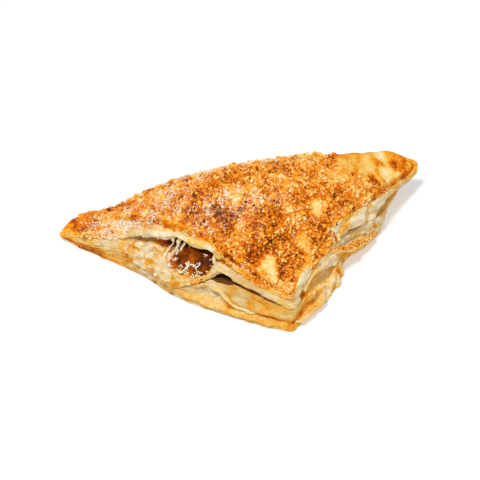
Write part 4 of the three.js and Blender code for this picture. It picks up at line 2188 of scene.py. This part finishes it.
@dataclass
class Skin:
    """The shell's cells, for strewing things evenly over it."""

    points: Array
    normals: Array
    area: Array
    way: Array
    share: Array
    zone: Array

    @classmethod
    def of(cls, shell: PastryShell) -> Skin:
        """Read the cells of a shell.

        Args:
            shell: the shell.

        Returns:
            Its cells.
        """
        way, rows, table = shell.form()
        across = table[:-1, 1:] - table[:-1, :-1]
        up = table[1:, :-1] - table[:-1, :-1]
        normal = np.cross(across, up)
        area = np.linalg.norm(normal, axis=2)
        zones = list(Zone)
        return cls(
            points=np.stack([table[:-1, :-1], across, up], axis=2).reshape(-1, 3, 3),
            normals=(normal / np.maximum(area, 1e-9)[..., None]).reshape(-1, 3),
            area=area.ravel(),
            way=np.tile(way[:-1], len(rows) - 1),
            share=np.repeat([row.share for row in rows[:-1]], len(way) - 1),
            zone=np.repeat([zones.index(row.zone) for row in rows[:-1]], len(way) - 1),
        )

    def is_in(self, zone: Zone) -> Array:
        """Which cells lie in a zone."""
        return self.zone == list(Zone).index(zone)

    def strew(self, rng: np.random.Generator, thick: Array, count: int) -> tuple[Array, Array]:
        """Random places, thickest where the cells say so.

        Args:
            rng: picks the places.
            thick: how thickly each cell is strewn.
            count: how many places.

        Returns:
            The places and the directions that lead out of the skin there.
        """
        weight = self.area * np.clip(thick, 0.0, None)
        cells = rng.choice(len(weight), count, p=weight / weight.sum())
        a, b = rng.uniform(0.0, 1.0, (2, count, 1))
        corner, across, up = np.moveaxis(self.points[cells], 1, 0)
        return corner + a * across + b * up, self.normals[cells]


@dataclass
class CrumbTopping:
    """Sugar crumbs strewn over the crown, and white sugar among them."""

    shell: PastryShell
    leaves: PastryLeaves
    crumb_count: int = 5600
    fine_count: int = 14000
    sugar_count: int = 2300
    crumb_radius: tuple[float, float] = (0.42, 0.8)
    fine_radius: tuple[float, float] = (0.22, 0.48)
    sugar_radius: tuple[float, float] = (0.16, 0.4)
    tones: tuple[float, ...] = (0.2, 0.4, 0.56, 0.72)
    tone_ends: tuple[float, ...] = (0.24, 0.64, 0.9)
    clump_browning: float = 0.2
    seed: int = 21
    edge_crumbs: RimCurve = along(
        (0, 0.2), (0.2, 0.3), (0.3, 0.05), (0.36, 0), (1.12, 0), (1.2, 0.6), (1.3, 0.85), (1.38, 0.1),
        (1.42, 0), (1.9, 0), (2, 0),
    )

    def crumbed(self, skin: Skin, noise: Unevenness) -> Array:
        """How thickly crumbs lie on the skin.

        Args:
            skin: the shell's cells.
            noise: makes the crumbs' borders ragged.

        Returns:
            One value for each cell, 0 to 1.
        """
        points = skin.points[:, 0]
        ragged = 2.5 * noise.at(points + 90.0, 7.0, 2)
        tip = self.shell.bare(points) + ragged
        top = 1.0 - smooth(tip, -3.0, 3.0)
        past = self.shell.past_step(skin.way, skin.share)
        stepped = self.shell.stepped(skin.way, skin.share)
        top *= 1.0 - stepped * (0.3 * smooth(past, -0.035, -0.015) + 0.67 * smooth(past, -0.014, -0.004))
        left = -points[:, 0]
        top *= 1.0 - 0.7 * smooth(left + ragged, 48.0, 62.0) - 0.22 * smooth(left, 66.0, 74.0)
        for patch in CROWN_PATCHES:
            if patch.bake < -0.2:
                top *= 1.0 - 0.93 * patch.share(points, self.shell.noise)
        fold = smooth(points[:, 2] + 2.0 * ragged, 3.0, 26.0) ** 2 * (1.0 - smooth(tip, -3.0, 3.0))
        fold *= 1.0 - 0.7 * smooth(left, 48.0, 66.0)
        edge = np.where(skin.is_in(Zone.UPPER), self.edge_crumbs.at(skin.way), 0.0)
        wall = np.where(skin.way < 2.0, edge, fold * ~skin.is_in(Zone.BASE))
        return np.where(skin.is_in(Zone.CROWN), top, wall)

    def sugared(self, skin: Skin, noise: Unevenness) -> Array:
        """How thickly white sugar lies on the skin.

        Args:
            skin: the shell's cells.
            noise: gathers the sugar into patches.

        Returns:
            One value for each cell.
        """
        points = skin.points[:, 0]
        thick = 0.03 + 0.2 * smooth(noise.at(points + 50.0, 7.0, 2), 0.25, 0.8) + dusted(points)
        thick *= 0.04 + smooth(noise.at(points + 20.0, 3.0, 2), 0.05, 0.6)
        thick *= self.shell.bare(points) < 0.0
        thick *= 1.0 - 0.8 * (skin.way > 2.0) * (points[:, 2] < 20.0)
        return thick * (skin.is_in(Zone.CROWN) + 0.6 * skin.is_in(Zone.UPPER) * (skin.way < 0.42))

    def build(self, crumb: Material, sugar: Material) -> None:
        """Strew the crumbs and the sugar.

        Args:
            crumb: the crumbs' material.
            sugar: the sugar's material.
        """
        rng = np.random.default_rng(self.seed)
        noise = Unevenness(self.seed)
        skin = Skin.of(self.shell)
        thick = self.crumbed(skin, noise)
        lumpy = 0.7 + 0.5 * noise.at(skin.points[:, 0], 6.0, 2)
        spots, away = skin.strew(rng, thick * lumpy, self.crumb_count)
        self.crumbs(spots, away, rng, noise).build("sugar_crumbs", Grit.PEBBLE, 31, crumb)
        self.fine(skin, thick, rng, noise).build("fine_crumbs", Grit.CRYSTAL, 33, crumb)
        grains, away = skin.strew(rng, self.sugared(skin, noise), self.sugar_count)
        grains = grains + away * rng.uniform(0.1, 1.0, (len(grains), 1))
        sizes = rng.uniform(*self.sugar_radius, len(grains))
        Grains(grains, sizes).build("white_sugar", Grit.CRYSTAL, 32, sugar)

    def crumbs(self, spots: Array, away: Array, rng: np.random.Generator, noise: Unevenness) -> Grains:
        """Sizes and tones of crumbs at their places.

        Args:
            spots: where they lie.
            away: the directions that lead out of the skin there.
            rng: picks the sizes and tones.
            noise: gathers them into lumps.

        Returns:
            The crumbs.
        """
        count = len(spots)
        heap = smooth(noise.at(spots + 10.0, 5.0, 2), 0.25, 0.9)
        for patch in CROWN_PATCHES:
            if patch.bake >= self.clump_browning:
                heap = np.maximum(heap, patch.share(spots, self.shell.noise))
        radii = rng.uniform(*self.crumb_radius, count)
        radii = radii + 0.7 * rng.uniform(0.0, 1.0, count) ** 5 + 0.3 * heap
        lift = 0.1 * radii + 1.1 * heap * rng.uniform(0.0, 1.0, count)
        return Grains(spots + away * lift[:, None], radii, self.looks(spots, rng, noise))

    def fine(self, skin: Skin, thick: Array, rng: np.random.Generator, noise: Unevenness) -> Grains:
        """The finest crumbs, which lie almost everywhere on the crust and on the crumbed flakes.

        Args:
            skin: the shell's cells.
            thick: how thickly larger crumbs lie on each cell.
            rng: picks the places, sizes and tones.
            noise: gathers the tones into patches.

        Returns:
            The crumbs.
        """
        flap = swell(skin.way, 0.85, 0.12)
        band = skin.share > self.shell.step_share.at(skin.way)
        crust = 0.9 * thick + flap * (0.55 * band * skin.is_in(Zone.CROWN) + 0.4 * skin.is_in(Zone.UPPER))
        ledge = skin.is_in(Zone.MIDDLE) * (skin.share < 0.4)
        outer = ledge + skin.is_in(Zone.UPPER_GAP) * (skin.share > 0.92)
        crust = crust + 0.3 * swell(skin.way, 0.595, 0.075) * outer
        spots, away = skin.strew(rng, crust, self.fine_count)
        spots = spots + away * rng.uniform(0.0, 0.25, (len(spots), 1))
        spots = np.vstack([spots, self.leaves.crumb_spots(rng)])
        radii = rng.uniform(*self.fine_radius, len(spots))
        return Grains(spots, radii, self.looks(spots, rng, noise))

    def looks(self, spots: Array, rng: np.random.Generator, noise: Unevenness) -> dict[str, Array]:
        """How browned each crumb is, and how much sugar dust lies on it.

        Args:
            spots: where the crumbs lie.
            rng: picks the tones.
            noise: gathers the tones into patches.

        Returns:
            One value for each crumb, under each name that their material reads.
        """
        kind = rng.uniform(0.0, 1.0, len(spots)) + 0.16 * noise.at(spots + 70.0, 8.0, 2)
        tones = np.array(self.tones)[np.searchsorted(self.tone_ends, kind, side="right")]
        tones = tones + 0.05 * rng.normal(size=len(spots)) + 0.12 * noise.at(spots, 13.0, 2)
        # paler on the heaps, darker in the dips: painted shade
        tones -= self.shell.lump_shade * self.shell.lumps(spots)
        for patch in CROWN_PATCHES:
            tones += 0.9 * patch.bake * patch.share(spots, self.shell.noise)
        # crumbs lower than 18 mm are painted paler: painted light where the right cut edge's ledge lies in
        # shade
        tones -= 0.18 * (spots[:, 2] < 18.0)
        settled = dusted(spots) * (0.35 + smooth(noise.at(spots + 20.0, 3.0, 2), 0.0, 0.5))
        return {"tone": np.clip(tones - 0.06 * settled, 0.02, 0.84), "dust": 0.95 * settled}


@dataclass(frozen=True)
class Lamp:
    """One square lamp that faces the pastry, in metres and watts."""

    name: str
    spot: tuple[float, float, float]
    size: float
    power: float

    def hang(self) -> None:
        """Hang the lamp in the scene."""
        light = bpy.data.lights.new(self.name, "AREA")
        light.size = self.size
        light.energy = self.power
        lamp = bpy.data.objects.new(self.name, light)
        lamp.location = self.spot
        lamp.rotation_euler = (-Vector(self.spot)).to_track_quat("-Z", "Y").to_euler()
        bpy.context.scene.collection.objects.link(lamp)


@dataclass(frozen=True)
class Studio:
    """The camera, the floor and the light."""

    aim: tuple[float, float, float] = (-11.9, -41.9, 17.0)
    azimuth: float = -13.9
    elevation: float = 37.0
    distance: float = 700.0
    lens: float = 114.45
    sensor: float = 36.0
    floor_size: float = 4.0
    floor_white: float = 0.7
    floor_roughness: float = 0.9
    floor_glow: float = 0.3
    sky: float = 0.42
    key: Lamp = Lamp("key", (-0.8, -0.8, 2.0), 0.36, 36.0)
    fill: Lamp = Lamp("fill", (1.4, -1.2, 1.2), 1.2, 11.5)

    def build(self) -> None:
        """Set the camera, lay the floor and hang the lights."""
        self.camera()
        self.floor()
        self.lights()
        bpy.context.scene.view_settings.view_transform = "Standard"

    def camera(self) -> None:
        """Stand the camera where the photograph was taken from."""
        turn = math.radians(self.azimuth)
        lift = math.radians(self.elevation)
        away = np.array([math.sin(turn) * math.cos(lift), -math.cos(turn) * math.cos(lift), math.sin(lift)])
        eye = lay(np.array(self.aim) + self.distance * away)
        lens = bpy.data.cameras.new("camera")
        lens.lens = self.lens
        lens.sensor_width = self.sensor
        lens.clip_start = 0.01
        stand = bpy.data.objects.new("camera", lens)
        stand.location = eye
        gaze = Vector(lay(np.array(self.aim))) - Vector(eye)
        stand.rotation_euler = gaze.to_track_quat("-Z", "Y").to_euler()
        bpy.context.scene.collection.objects.link(stand)
        bpy.context.scene.camera = stand

    def floor(self) -> None:
        """Lay a plain white floor."""
        sheet = bmesh.new()
        bmesh.ops.create_grid(sheet, x_segments=1, y_segments=1, size=self.floor_size)
        mesh = bpy.data.meshes.new("floor")
        sheet.to_mesh(mesh)
        sheet.free()
        floor = place("floor", mesh, smooth_faces=False)
        paint = bpy.data.materials.new("floor_white")
        paint.use_nodes = True
        shader = paint.node_tree.nodes["Principled BSDF"]
        white = (self.floor_white,) * 3
        shader.inputs["Base Color"].default_value = (*white, 1.0)
        shader.inputs["Roughness"].default_value = self.floor_roughness
        shader.inputs["Emission Color"].default_value = (1.0, 1.0, 1.0, 1.0)
        shader.inputs["Emission Strength"].default_value = self.floor_glow
        mesh.materials.append(paint)

    def lights(self) -> None:
        """Hang a key light at the left, a large soft fill at the right and a white sky."""
        self.key.hang()
        self.fill.hang()
        world = bpy.data.worlds.new("sky")
        world.use_nodes = True
        sky = world.node_tree.nodes["Background"]
        sky.inputs["Color"].default_value = (1.0, 1.0, 1.0, 1.0)
        sky.inputs["Strength"].default_value = self.sky
        bpy.context.scene.world = world


def main() -> None:
    """Build and dress the turnover, piece by piece."""
    logging.basicConfig(level=logging.INFO, format="%(name)s: %(message)s")
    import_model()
    Studio().build()
    oven = oven_group()
    dough = Dough()
    crust = CrustFinish().make(oven)
    shell = PastryShell(dough)
    shell.build(crust)
    leaves = PastryLeaves(dough)
    leaves.build(crust)
    sugar = SugarFinish().make()
    crumb = CrumbFinish().make(oven)
    FillingBody(dough).build(FillingFinish().make(), sugar, crumb)
    CrumbTopping(shell, leaves).build(crumb, sugar)


if __name__ == "__main__":
    main()
